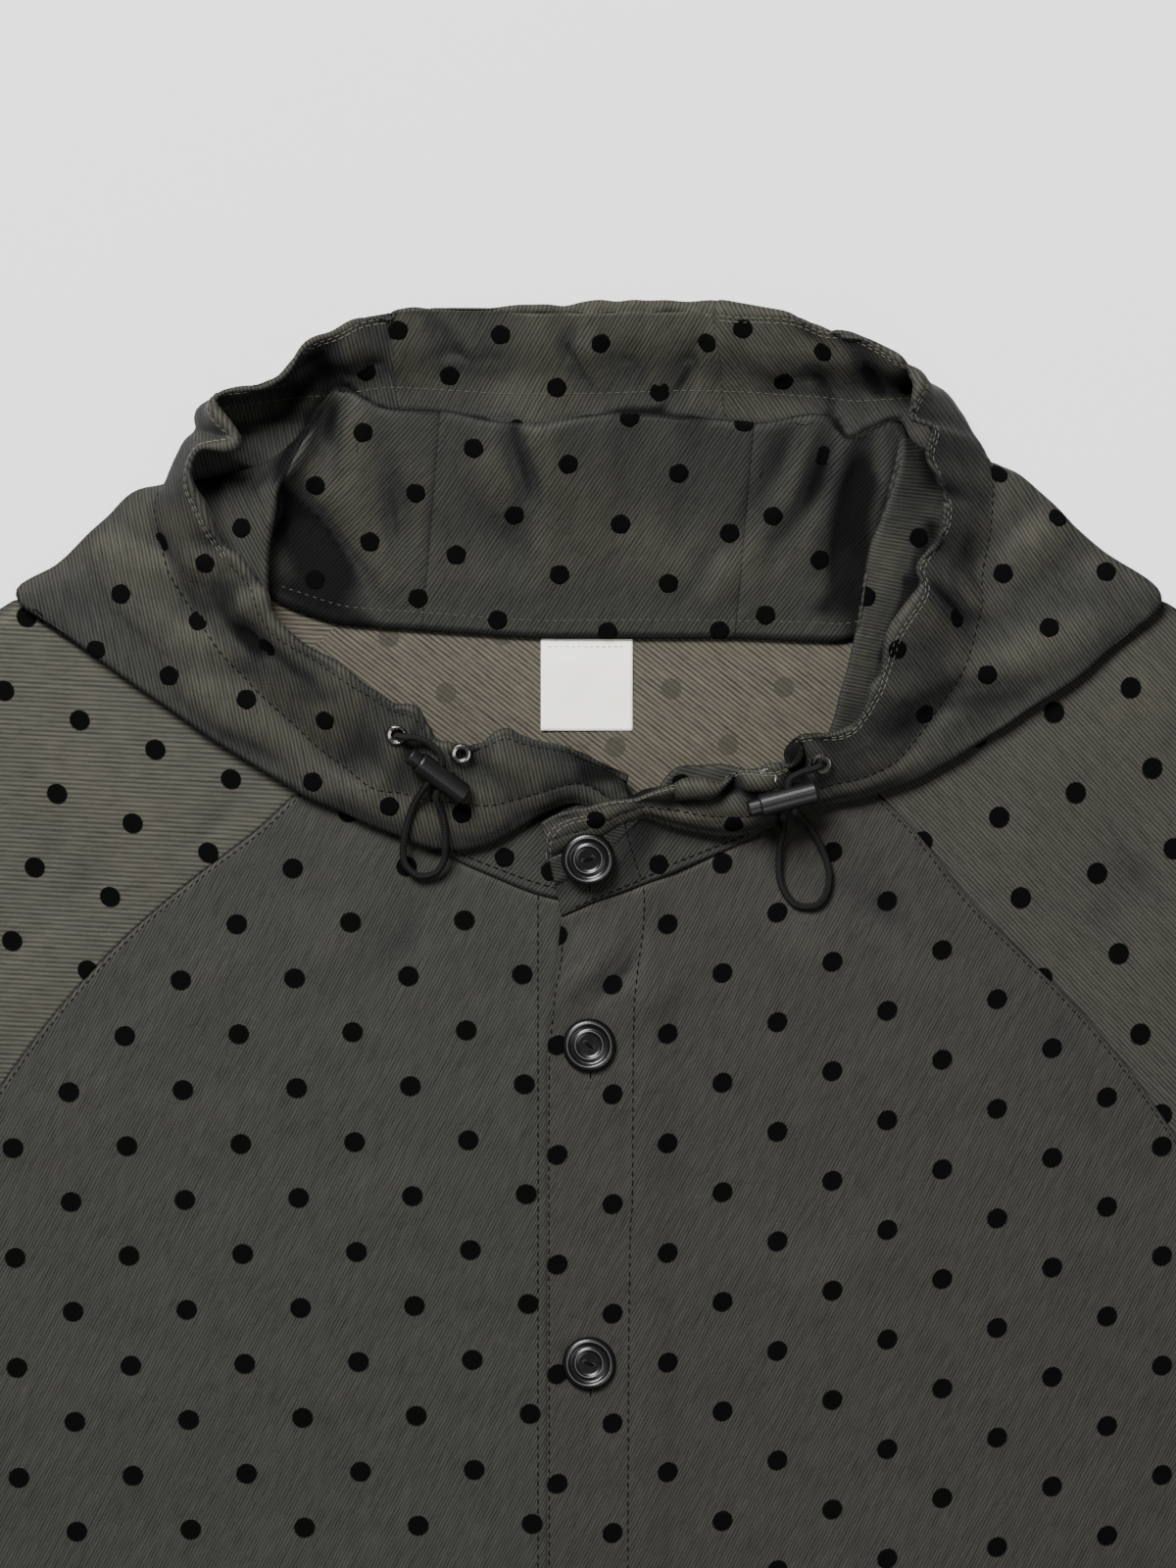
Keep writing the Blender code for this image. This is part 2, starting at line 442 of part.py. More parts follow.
# ---- buttons ----
BUTTON_PROFILE = [(0.0, 0.0), (0.82, 0.0), (0.97, 0.6), (1.0, 1.5), (0.93, 2.3), (0.82, 2.5), (0.72, 1.9),
                  (0.60, 1.8), (0.52, 2.1), (0.40, 1.7), (0.0, 1.5)]  # radius share and height


def turned(name, profile, steps, colour, rough, place, flip=False):
    """A solid turned round Z from (radius, height) in millimetres, put in place by a matrix."""
    made = add_mesh(name, [(r, 0, z) for r, z in profile], [], colour, rough)
    made.data.clear_geometry()
    made.data.from_pydata([(r * MM, 0, z * MM) for r, z in profile],
                          [(i, i + 1) for i in range(len(profile) - 1)], [])
    spin = made.modifiers.new("turn", "SCREW")
    spin.axis = "Z"
    spin.steps = steps
    spin.render_steps = steps
    spin.use_merge_vertices = True
    spin.merge_threshold = 0.00001
    spin.use_normal_flip = flip
    made.matrix_world = place
    return made


def facing(x, y, z, normal):
    """A matrix that puts an object at x, y, z in millimetres with its Z along normal."""
    turn = normal.to_track_quat("Z", "Y").to_matrix().to_4x4()
    return Matrix.Translation(Vector((x, y, z)) * MM) @ turn


button = [(r * BUTTON_R, z) for r, z in BUTTON_PROFILE[::-1]]
height, normal = top_of_hood(0.0, 211.9)
tilt = Vector((normal.x, normal.y, normal.z * 2.2)).normalized()
lift = 1.1 + BUTTON_R * math.sqrt(max(0.0, 1 - tilt.z**2)) * 0.55
turned("button_1", button, 20, (0.01, 0.01, 0.01), 0.15, facing(0, 211.9, height + lift, tilt))
for number, y in enumerate(BUTTON_Y):
    place = facing(0.4, y, PLACKET_Z + BODY_WALL / 2 + 0.3, Vector((0, 0, 1)))
    turned(f"button_{number + 2}", button, 20, (0.01, 0.01, 0.01), 0.15, place)

# ---- eyelets, cord locks and drawcords ----
LOCK_FLIP = False
EYELET = {"outer": 4.1, "hole": 2.1, "thick": 1.0}
eyelet = [(EYELET["hole"], 0.0), (EYELET["outer"], 0.0), (EYELET["outer"] - 0.5, EYELET["thick"] * 0.8),
          (0.5 * (EYELET["outer"] + EYELET["hole"]), EYELET["thick"]), (EYELET["hole"], EYELET["thick"] * 0.6),
          (EYELET["hole"], 0.0)]
LOCK = {"length": 22.4, "radius": 4.4, "bore": 3.5, "plunger": 3.2, "depth": 20.0, "shank": 16.5, "cap": 4.6,
        "slot_from": 6.0, "slot_to": 14.4, "slot_high": 3.8, "travel": 3.0}
# name, eyelet A, lock's cap end, lock's far end, strand 1 out, loop, strand 2 out, eyelet B: x and y
CORDS = {
    "left": {"eye_a": (-72.8, 259.0), "eye_b": (-48.3, 252.0), "way": (-62.2, 257.0), "cap": (-64.3, 248.8), "far": (-45.5, 234.9),
             "loop": [(-66.5, 232.0), (-69.6, 222.0), (-70.4, 212.0), (-68.0, 207.0), (-63.0, 205.1),
                      (-57.8, 206.6), (-54.8, 211.5), (-54.4, 220.0), (-55.2, 228.0)]},
    "right": {"eye_a": (88.8, 248.0), "eye_b": (68.0, 243.0), "way": (82.0, 245.0), "cap": (65.2, 232.0), "far": (86.8, 237.6),
              "loop": [(84.6, 224.0), (90.0, 214.0), (92.2, 204.0), (89.6, 196.0), (84.0, 193.2),
                       (78.0, 195.4), (73.6, 203.0), (73.0, 214.0), (74.8, 225.0)]}}


def box(name, low, high, place):
    corners = [(x, y, z) for z in (low[2], high[2]) for y in (low[1], high[1]) for x in (low[0], high[0])]
    faces = [(0, 2, 3, 1), (4, 5, 7, 6), (0, 1, 5, 4), (1, 3, 7, 5), (3, 2, 6, 7), (2, 0, 4, 6)]
    made = add_mesh(name, corners, faces, hidden=True)
    made.matrix_world = place
    return made


def cut(target, cutter):
    tool = target.modifiers.new("cut", "BOOLEAN")
    tool.operation = "DIFFERENCE"
    tool.solver = "EXACT"
    tool.object = cutter


def cord_lock(side, cord):
    """Barrel and plunger along the line from the cap end to the far end. Returns their frame."""
    cap, far = Vector(cord["cap"]), Vector(cord["far"])
    axis = (far - cap).normalized()
    cross = Vector((axis.y, -axis.x))
    radius, length = LOCK["radius"], LOCK["length"]
    spots = np.arange(-LOCK["cap"], length + 0.1, 1.5)
    need = [max(top_of_hood(*(cap + axis * s + cross * w))[0] + math.sqrt(radius**2 - w**2)
                for w in (-4.2, -3, -1.5, 0, 1.5, 3, 4.2)) for s in spots]
    slope, base = np.polyfit(spots, need, 1)
    base += max(need - (slope * spots + base)) + 0.3
    along_axis = Vector((axis.x, axis.y, slope)).normalized()
    sideways = Vector((cross.x, cross.y, 0))
    up = along_axis.cross(sideways)
    if up.z < 0:
        sideways, up = -sideways, -up
    place = Matrix.Translation(Vector((cap.x, cap.y, base)) * MM) @ Matrix((sideways, up, along_axis)).transposed(
    ).to_4x4()
    bore = LOCK["bore"]
    outside = [(0, LOCK["depth"]), (bore, LOCK["depth"]), (bore, 0.5), (bore + 0.3, 0), (radius - 0.5, 0),
               (radius, 0.6), (radius, length - 0.8), (radius - 0.8, length), (0, length)]
    barrel = turned(f"lock_barrel_{side}", outside, 24, (0.01, 0.01, 0.01), 0.3, place, LOCK_FLIP)
    high = LOCK["slot_high"] / 2
    cut(barrel, box(f"slot_{side}", (-9, -high, LOCK["slot_from"]), (9, high, LOCK["slot_to"]), place))
    thin = LOCK["plunger"]
    inside = [(0, -LOCK["cap"]), (thin - 0.6, -LOCK["cap"]), (thin, -LOCK["cap"] + 0.6),
              (thin, LOCK["shank"] - 0.5), (thin - 0.5, LOCK["shank"]), (0, LOCK["shank"])]
    plunger = turned(f"lock_plunger_{side}", inside[::-1], 20, (0.01, 0.01, 0.01), 0.3, place)
    longer = (LOCK["slot_from"] - LOCK["travel"] - 0.3, LOCK["slot_to"] + 0.3)
    cut(plunger, box(f"slot_in_{side}", (-9, -high + 0.1, longer[0]), (9, high - 0.1, longer[1]), place))
    return place, along_axis


def tube(name, points, radius, colour):
    data = bpy.data.curves.new(name, "CURVE")
    data.dimensions = "3D"
    data.bevel_depth = radius * MM
    data.bevel_resolution = 1
    data.use_fill_caps = True
    line = data.splines.new("POLY")
    line.points.add(len(points) - 1)
    for spot, point in zip(line.points, points):
        spot.co = (*[float(c) * MM for c in point], 1.0)
    made = bpy.data.objects.new(name, data)
    garment.objects.link(made)
    data.materials.append(material(name, colour, 0.6))
    return made


cord_lengths = {}
for side, cord in CORDS.items():
    place, lock_axis = cord_lock(side, cord)
    print("lock axis", side, [round(c, 5) for c in lock_axis])
    middle = 0.5 * (LOCK["slot_from"] + LOCK["slot_to"])
    reach = LOCK["radius"] + 1.2
    near, far = cord["loop"][0], cord["loop"][-1]
    lanes = [middle - 2.4, middle + 2.4]
    if (far[0] - near[0]) * lock_axis.x < 0:
        lanes.reverse()

    def in_lock(lane, across):
        return np.array(place @ (Vector((across, 0, lane)) * MM)) / MM

    out = 1 if in_lock(middle, 1)[1] < in_lock(middle, -1)[1] else -1
    ends = []
    for tag in "ab":
        x, y = cord[f"eye_{tag}"]
        height, normal = top_of_hood(x, y)
        tilt = Vector((normal.x, normal.y, normal.z * 1.5)).normalized()
        lift = 0.5 + EYELET["outer"] * math.sqrt(max(0.0, 1 - tilt.z**2)) * 0.45
        turned(f"eyelet_{side}_{tag}", eyelet[::-1], 16, (0.05, 0.05, 0.05), 0.2,
               facing(x, y, height + lift, tilt))
        centre = np.array((x, y, height + lift))
        ends.append([centre + np.array(tilt) * 1.8, centre + np.array(tilt) * 3.2])
    gate = [[in_lock(lane, across * out) for across in (-reach, 0, reach)] for lane in lanes]
    gate[1][0] = in_lock(lanes[1], -out * (LOCK["radius"] + 0.2))  # it ends at the lock, over the second eyelet
    loop = [(x, y, top_of_hood(x, y)[0] + CORD_R + 0.4) for x, y in cord["loop"]]
    way = (*cord["way"], top_of_hood(*cord["way"])[0] + CORD_R + 0.4)
    entry = in_lock(lanes[0], -out * (reach + 0.9))
    route = along(np.array([*ends[0], way, entry, *gate[0], *loop, *gate[1][::-1]]), 80)
    floor = np.array([max(top_of_hood(x + dx, y + dy)[0] for dx in (-1.2, 0, 1.2) for dy in (-1.2, 0, 1.2))
                      for x, y, z in route]) + CORD_R + 0.25
    inverse = place.inverted()
    fixed = np.zeros(len(route), bool)
    fixed[:3] = True
    for i, point in enumerate(route):
        spot = inverse @ (Vector(point) * MM) / MM
        if abs(spot.x) < reach and -1 < spot.z < LOCK["length"]:
            route[i] = in_lock(spot.z, spot.x)
            fixed[i] = True
    for _ in range(60):
        mean = 0.25 * route[:-2, 2] + 0.5 * route[1:-1, 2] + 0.25 * route[2:, 2]
        route[1:-1, 2] = np.where(fixed[1:-1], route[1:-1, 2], np.maximum(mean, floor[1:-1]))
    cord_lengths[side] = float(np.linalg.norm(np.diff(route, axis=0), axis=1).sum())
    tube(f"cord_{side}", route, CORD_R, (0.02, 0.02, 0.018))
print("cord lengths in mm", cord_lengths)
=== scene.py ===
# Looks of the hooded coach jacket, laid flat face up. Lengths in the tables are in millimetres.
import bpy
import json
import math
import numpy as np
from mathutils import Matrix, Vector
from mathutils.bvhtree import BVHTree

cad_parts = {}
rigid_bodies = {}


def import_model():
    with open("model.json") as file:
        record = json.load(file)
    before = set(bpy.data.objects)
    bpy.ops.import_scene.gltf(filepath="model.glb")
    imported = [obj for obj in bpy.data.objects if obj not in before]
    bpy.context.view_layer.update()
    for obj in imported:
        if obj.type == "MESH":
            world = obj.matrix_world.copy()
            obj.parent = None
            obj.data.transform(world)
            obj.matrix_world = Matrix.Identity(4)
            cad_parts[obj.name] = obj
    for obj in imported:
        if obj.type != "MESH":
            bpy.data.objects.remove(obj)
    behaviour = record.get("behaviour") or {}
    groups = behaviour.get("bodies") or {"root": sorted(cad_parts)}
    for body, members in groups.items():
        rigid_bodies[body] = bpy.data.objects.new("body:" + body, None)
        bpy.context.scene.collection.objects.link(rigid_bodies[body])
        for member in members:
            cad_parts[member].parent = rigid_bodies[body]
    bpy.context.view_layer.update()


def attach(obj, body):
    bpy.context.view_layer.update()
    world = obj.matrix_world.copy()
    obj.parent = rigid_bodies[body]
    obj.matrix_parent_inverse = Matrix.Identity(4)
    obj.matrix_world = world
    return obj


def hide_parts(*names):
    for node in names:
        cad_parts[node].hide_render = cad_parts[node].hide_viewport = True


print("stage: frame")
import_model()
mm = 0.001
rootBody = "jacket"
wholeScene = bpy.context.scene
photo = {"scale": 0.375, "middle": 600, "low": 1441}  # millimetres a pixel, and the origin's pixel


def fromPixel(x, y):
    return (x - photo["middle"]) * photo["scale"], (photo["low"] - y) * photo["scale"]


def toPixel(x, y):
    return x / photo["scale"] + photo["middle"], photo["low"] - y / photo["scale"]


# the camera looks straight down and frames what the photograph frames
cameraSettings = {"height": 3.0, "tall": 0.6, "pixel": (600, 800), "sensor": 36.0}
cameraData = bpy.data.cameras.new("camera")
cameraData.sensor_fit = "VERTICAL"
cameraData.sensor_height = cameraSettings["sensor"]
cameraData.lens = cameraSettings["sensor"] * cameraSettings["height"] / cameraSettings["tall"]
camera = bpy.data.objects.new("camera", cameraData)
wholeScene.collection.objects.link(camera)
centreX, centreY = fromPixel(*cameraSettings["pixel"])
camera.location = (centreX * mm, centreY * mm, cameraSettings["height"])
wholeScene.camera = camera


class Wire:
    # a shader socket that takes part in sums
    def __init__(self, graph, socket):
        self.graph = graph
        self.socket = socket

    def __add__(self, other):
        return self.graph.calc("ADD", self, other)

    def __sub__(self, other):
        return self.graph.calc("SUBTRACT", self, other)

    def __rsub__(self, other):
        return self.graph.calc("SUBTRACT", other, self)

    def __mul__(self, other):
        return self.graph.calc("MULTIPLY", self, other)

    def __pow__(self, other):
        return self.graph.calc("POWER", self, other)

    __radd__ = __add__
    __rmul__ = __mul__


class Graph:
    # one material with its Principled shader
    def __init__(self, name, **constants):
        self.material = bpy.data.materials.new(name)
        self.material.use_nodes = True
        self.tree = self.material.node_tree
        self.shader = self.tree.nodes["Principled BSDF"]
        for key, value in self.named(constants).items():
            self.feed(self.shader.inputs[key], value)

    def named(self, constants):
        # Sheen_Weight is the socket Sheen Weight
        return {key.replace("_", " "): value for key, value in constants.items()}

    def feed(self, socket, value):
        if isinstance(value, Wire):
            self.tree.links.new(value.socket, socket)
        else:
            socket.default_value = value

    def node(self, kind, settings=None, inputs=None, output=0):
        made = self.tree.nodes.new(kind)
        for key, value in (settings or {}).items():
            setattr(made, key, value)
        for key, value in (inputs or {}).items():
            self.feed(made.inputs[key], value)
        return Wire(self, made.outputs[output])

    def calc(self, operation, *values):
        return self.node("ShaderNodeMath", {"operation": operation}, dict(enumerate(values)))

    def mix(self, factor, first, second, blend="MIX"):
        # the colours of a Mix node are its inputs 6 and 7 and its output 2
        settings = {"data_type": "RGBA", "blend_type": blend}
        return self.node("ShaderNodeMix", settings, {0: factor, 6: first, 7: second}, 2)

    def smooth(self, value, low, high):
        settings = {"interpolation_type": "SMOOTHSTEP"}
        return self.node("ShaderNodeMapRange", settings, {0: value, 1: low, 2: high, 3: 0.0, 4: 1.0})

    def parts(self, layer):
        # a UV layer and its two coordinates
        where = self.node("ShaderNodeUVMap", {"uv_map": layer})
        first = self.node("ShaderNodeSeparateXYZ", None, {0: where})
        return where, first, Wire(self, first.socket.node.outputs[1])

    def noise(self, where, scale, detail=2.0, rough=0.5):
        return self.node("ShaderNodeTexNoise", {"noise_dimensions": "3D"},
                         {"Vector": where, "Scale": scale, "Detail": detail, "Roughness": rough})

    def stretched(self, where, factors):
        return self.node("ShaderNodeVectorMath", {"operation": "MULTIPLY"}, {0: where, 1: factors})

    def facing(self, way):
        # how far the cloth turns to that direction
        normal = self.node("ShaderNodeNewGeometry", output=1)
        return self.node("ShaderNodeVectorMath", {"operation": "DOT_PRODUCT"}, {0: normal, 1: way}, output=1)

    def over(self, factor, **constants):
        # a second shader laid over the first where factor is 1
        second = self.node("ShaderNodeBsdfPrincipled", None, self.named(constants))
        first = Wire(self, self.shader.outputs[0])
        both = self.node("ShaderNodeMixShader", None, {0: factor, 1: first, 2: second})
        self.feed(self.tree.nodes["Material Output"].inputs["Surface"], both)

    def finish(self, colour, rough=None, height=None, depth=0.0002, strength=1.0):
        self.feed(self.shader.inputs["Base Color"], colour)
        if rough is not None:
            self.feed(self.shader.inputs["Roughness"], rough)
        if height is not None:
            raised = {"Strength": strength, "Distance": depth, "Height": height}
            self.feed(self.shader.inputs["Normal"], self.node("ShaderNodeBump", None, raised))
        return self.material


light = 3.1  # what a level surface gets from the lamps and the world
viewCurve = [  # a tone as it shows, 0 to 255, and the light that gives it
    (0, 0), (3, 0.002), (11, 0.006), (18, 0.01), (32, 0.02), (46, 0.035), (54, 0.045), (61, 0.055),
    (71, 0.07), (82, 0.09), (96, 0.12), (111, 0.16), (124, 0.2), (142, 0.28), (160, 0.4), (174, 0.55),
    (186, 0.75), (197, 1.0), (211, 1.6), (217, 2.0), (223, 2.5)]


def linear(*tones):
    # the base colour that shows as that red, green and blue
    return (*[min(1.0, float(np.interp(tone, *zip(*viewCurve))) / light) for tone in tones], 1.0)


def grey(tone):
    return (tone, tone, tone, 1.0)


# glow is the way toward the lamps' side; the darker and lighter tints after it are for painted shade and
# painted sheen
clothSettings = {"rough": 0.66, "sheen": 0.015, "shine": 0.07, "dotRadius": 0.004, "dotStep": 0.0302,
                 "dotEdge": 0.0006, "dotBlur": (-0.00005, 0.0005), "wobble": 0.0005, "depth": 0.00009,
                 "glow": (-0.12, 0.34, 0.933), "paintedShade": (0.50, 0.52, 0.60), "paintedSheen": (1.52, 1.47, 1.28),
                 "patch": (1.22, 1.18, 1.02), "crackle": (0.55, 0.56, 0.6), "through": (0.42, 0.45, 0.44),
                 "deep": 0.82, "black": (0.0014, 0.0014, 0.0015, 1.0)}
clothScales = {"wobble": 45.0, "streaks": (90.0, 760.0, 1.0), "patches": 30.0, "fine": 2200.0,
               "crackle": 42.0, "dotEdge": 1500.0}


def twill(name, colour, period, contrast, dots=1.0, paintedShading=1.0):
    # twill: fine ribs along the layer cloth, flocked dots at the whole numbers of the layer dots, and painted
    # shade and painted sheen that stand in for the shot cloth's changing colour and for shadow in its folds
    made = Graph(name, Sheen_Weight=clothSettings["sheen"], Sheen_Roughness=0.5,
                 Specular_IOR_Level=clothSettings["shine"])
    where, _, across = made.parts("cloth")
    wobble = made.noise(where, clothScales["wobble"], 3.0) * clothSettings["wobble"]
    ribs = made.calc("SINE", (across + wobble) * (2 * math.pi / period)) * 0.5 + 0.5
    streaks = made.noise(made.stretched(where, clothScales["streaks"]), 1.0, 3.0, 0.65)
    patches = made.noise(where, clothScales["patches"], 3.0, 0.55)
    fine = made.noise(where, clothScales["fine"], 2.0, 0.7)
    base = linear(*colour)

    def tint(key):
        return tuple(min(1.0, c * f) for c, f in zip(base[:3], clothSettings[key])) + (1.0,)

    # cloth turned to the glow way gets the painted sheen, cloth turned away from it the painted shade
    turned = made.facing(clothSettings["glow"])
    _, fold, _ = made.parts("fold")  # painted shade and sheen by folds: 0.5 on level cloth, less in troughs and more on ridges
    # painted shade where the cloth turns from the lamps and in troughs, painted sheen where it faces them and
    # on ridges
    paintedShade = made.smooth(turned, 0.90, 0.62) * (0.8 * paintedShading) + made.smooth(fold, 0.47, 0.12) * (0.75 * paintedShading)
    paintedSheen = made.smooth(turned, 0.945, 1.0) * (0.5 * paintedShading) + made.smooth(fold, 0.56, 0.95) * (0.8 * paintedShading)
    paintedShade = made.calc("MINIMUM", paintedShade * (1.0 - made.smooth(fold, 0.5, 0.85) * 0.8), 0.95)
    paintedSheen = made.calc("MINIMUM", paintedSheen, 1.0)
    deep = made.smooth(fold, 0.36, -0.04)  # between layers, where hardly any light comes
    tinted = made.mix(paintedShade, made.mix(paintedSheen, base, tint("paintedSheen")), tint("paintedShade"))
    tinted = made.mix(made.smooth(patches, 0.35, 0.75) * 0.22, tinted, tint("patch"))
    crackle = made.calc("ABSOLUTE", made.noise(where, clothScales["crackle"], 4.0, 0.62) - 0.5)
    crackle = made.smooth(crackle, 0.035, 0.0)
    tinted = made.mix(crackle * 0.14, tinted, tint("crackle"))
    tone = ribs * 0.55 + (streaks - 0.5) * 0.9 + (fine - 0.5) * 0.5 + 0.22
    low, high = 1 - contrast, 1 + contrast
    threads = made.mix(tone, (low, low, low * 1.03, 1.0), (high, high, high * 0.97, 1.0))
    tinted = made.mix(1.0, tinted, threads, "MULTIPLY")
    height = ribs * 0.55 + streaks * 0.45 + fine * 0.2 - crackle * 0.7
    rough = clothSettings["rough"]
    dotsAndShade = deep * clothSettings["deep"]
    if dots:
        _, first, second = made.parts("dots")
        away = [made.calc("SUBTRACT", made.calc("FRACT", value + 0.5), 0.5) for value in (first, second)]
        edge = made.noise(where, clothScales["dotEdge"], 1.0) * clothSettings["dotEdge"]
        distance = made.calc("SQRT", away[0] ** 2 + away[1] ** 2) * clothSettings["dotStep"] + edge
        rim = [clothSettings["dotRadius"] + blur for blur in clothSettings["dotBlur"]]
        inside = 1.0 - made.smooth(distance, *rim)
        if dots < 1.0:  # seen through the cloth from its wrong side
            tinted = made.mix(inside * dots, tinted, tint("through"))
        else:
            dotsAndShade = made.calc("MAXIMUM", inside, dotsAndShade)
            height = height * (1.0 - inside) + inside * (2.2 + fine)
            rough = inside * 0.3 + rough
    # near black over the flocked dots, and as painted shade between layers
    made.over(dotsAndShade, Base_Color=clothSettings["black"], Roughness=1.0, Specular_IOR_Level=0.03)
    return made.finish(tinted, rough, height, clothSettings["depth"], 0.9)


print("stage: materials")
# the fronts, sleeves and hood are one twill; their base colours differ from panel to panel as painted sheen,
# for how the light falls along each panel's grain
materials = {
    "frontLeft": twill("frontLeft", (65, 65, 61), 0.00115, 0.74),
    "frontRight": twill("frontRight", (65, 64, 60), 0.00115, 0.74),
    "sleeveLeft": twill("sleeveLeft", (89, 88, 79), 0.0018, 0.68),
    "sleeveRight": twill("sleeveRight", (74, 73, 66), 0.0014, 0.70),
    "hoodTwill": twill("hoodTwill", (61, 61, 57), 0.00138, 0.76, dots=0.0),
    "wrongSide": twill("wrongSide", (106, 101, 88), 0.0017, 0.80, dots=0.6, paintedShading=0.2),
}
flock = Graph("flock", Roughness=1.0, Specular_IOR_Level=0.03)
flockGrain = flock.noise(flock.node("ShaderNodeTexCoord", output=3), 2600.0, 2.0, 0.8)
flockTone = flock.mix(flockGrain, grey(0.0008), (0.0024, 0.0024, 0.0025, 1))
materials["flock"] = flock.finish(flockTone, None, flockGrain)


def plain(name, colour, rough, grain=900.0, spread=0.15, depth=0.00003, **constants):
    # one colour with a fine grain in tone, polish and surface
    made = Graph(name, **constants)
    grains = made.noise(made.node("ShaderNodeTexCoord", output=3), grain, 3.0, 0.6)
    darker = tuple(c * (1 - spread) for c in colour) + (1.0,)
    lighter = tuple(min(1.0, c * (1 + spread)) for c in colour) + (1.0,)
    polish = grains * 0.12 + (rough - 0.06)
    materials[name] = made.finish(made.mix(grains, darker, lighter), polish, grains, depth, 0.6)


plain("stitchDark", (0.0016, 0.0016, 0.0016), 0.8, Specular_IOR_Level=0.05)
plain("stitchLight", (0.085, 0.08, 0.064), 0.7, Specular_IOR_Level=0.1)
plain("stitchSame", (0.045, 0.043, 0.036), 0.7, Specular_IOR_Level=0.1)
plain("buttonGloss", (0.0010, 0.0010, 0.0012), 0.3, 300.0, 0.1, 0.000005, Specular_IOR_Level=0.4)
# lighter grey for the painted highlights on the buttons' rims
plain("buttonEdge", (0.05, 0.05, 0.052), 0.42, 600.0, 0.1, Specular_IOR_Level=0.5)
plain("lockSatin", (0.003, 0.003, 0.003), 0.38, 1200.0, 0.1, Specular_IOR_Level=0.35)
plain("darkNickel", (0.22, 0.21, 0.195), 0.2, 700.0, 0.2, 0.00001, Metallic=1.0)
# near black for the painted shade inside the buttons' holes
plain("holeDark", (0.0008, 0.0008, 0.0008), 0.9)
cordGraph = Graph("cordBraid", Roughness=0.75, Specular_IOR_Level=0.15)
_, cordAlong, cordAround = cordGraph.parts("cloth")
strands = [cordGraph.calc("SINE", crossed * (2 * math.pi / 0.0024))
           for crossed in (cordAlong * 2.0 + cordAround, cordAlong * 2.0 - cordAround)]
braid = strands[0] * strands[1]
cordTone = cordGraph.mix(braid * 0.5 + 0.5, grey(0.002), (0.007, 0.007, 0.0065, 1))
materials["cordBraid"] = cordGraph.finish(cordTone, None, braid)
satin = Graph("labelSatin", Sheen_Weight=0.1, Roughness=0.5)
satinWhere, _, _ = satin.parts("cloth")
satinWeave = satin.noise(satin.stretched(satinWhere, (400.0, 3600.0, 1.0)), 1.0, 2.0)
satinTone = satinWeave * 0.6 + satin.noise(satinWhere, 90.0, 2.0) * 0.4
satinColour = satin.mix(satinTone, linear(219, 218, 210), linear(229, 229, 224))
materials["labelSatin"] = satin.finish(satinColour, None, satinWeave, 0.00006, 0.8)
floorSettings = {"tone": 0.25, "spread": 0.003, "glow": 1.46}
floorGraph = Graph("floorPaint", Roughness=0.9, Specular_IOR_Level=0.05, Emission_Color=grey(1),
                   Emission_Strength=floorSettings["glow"])
floorTone = floorGraph.noise(floorGraph.node("ShaderNodeTexCoord", output=3), 1.5, 2.0)
floorEnds = [grey(floorSettings["tone"] + sign * floorSettings["spread"]) for sign in (-1, 1)]
materials["floorPaint"] = floorGraph.finish(floorGraph.mix(floorTone, *floorEnds))

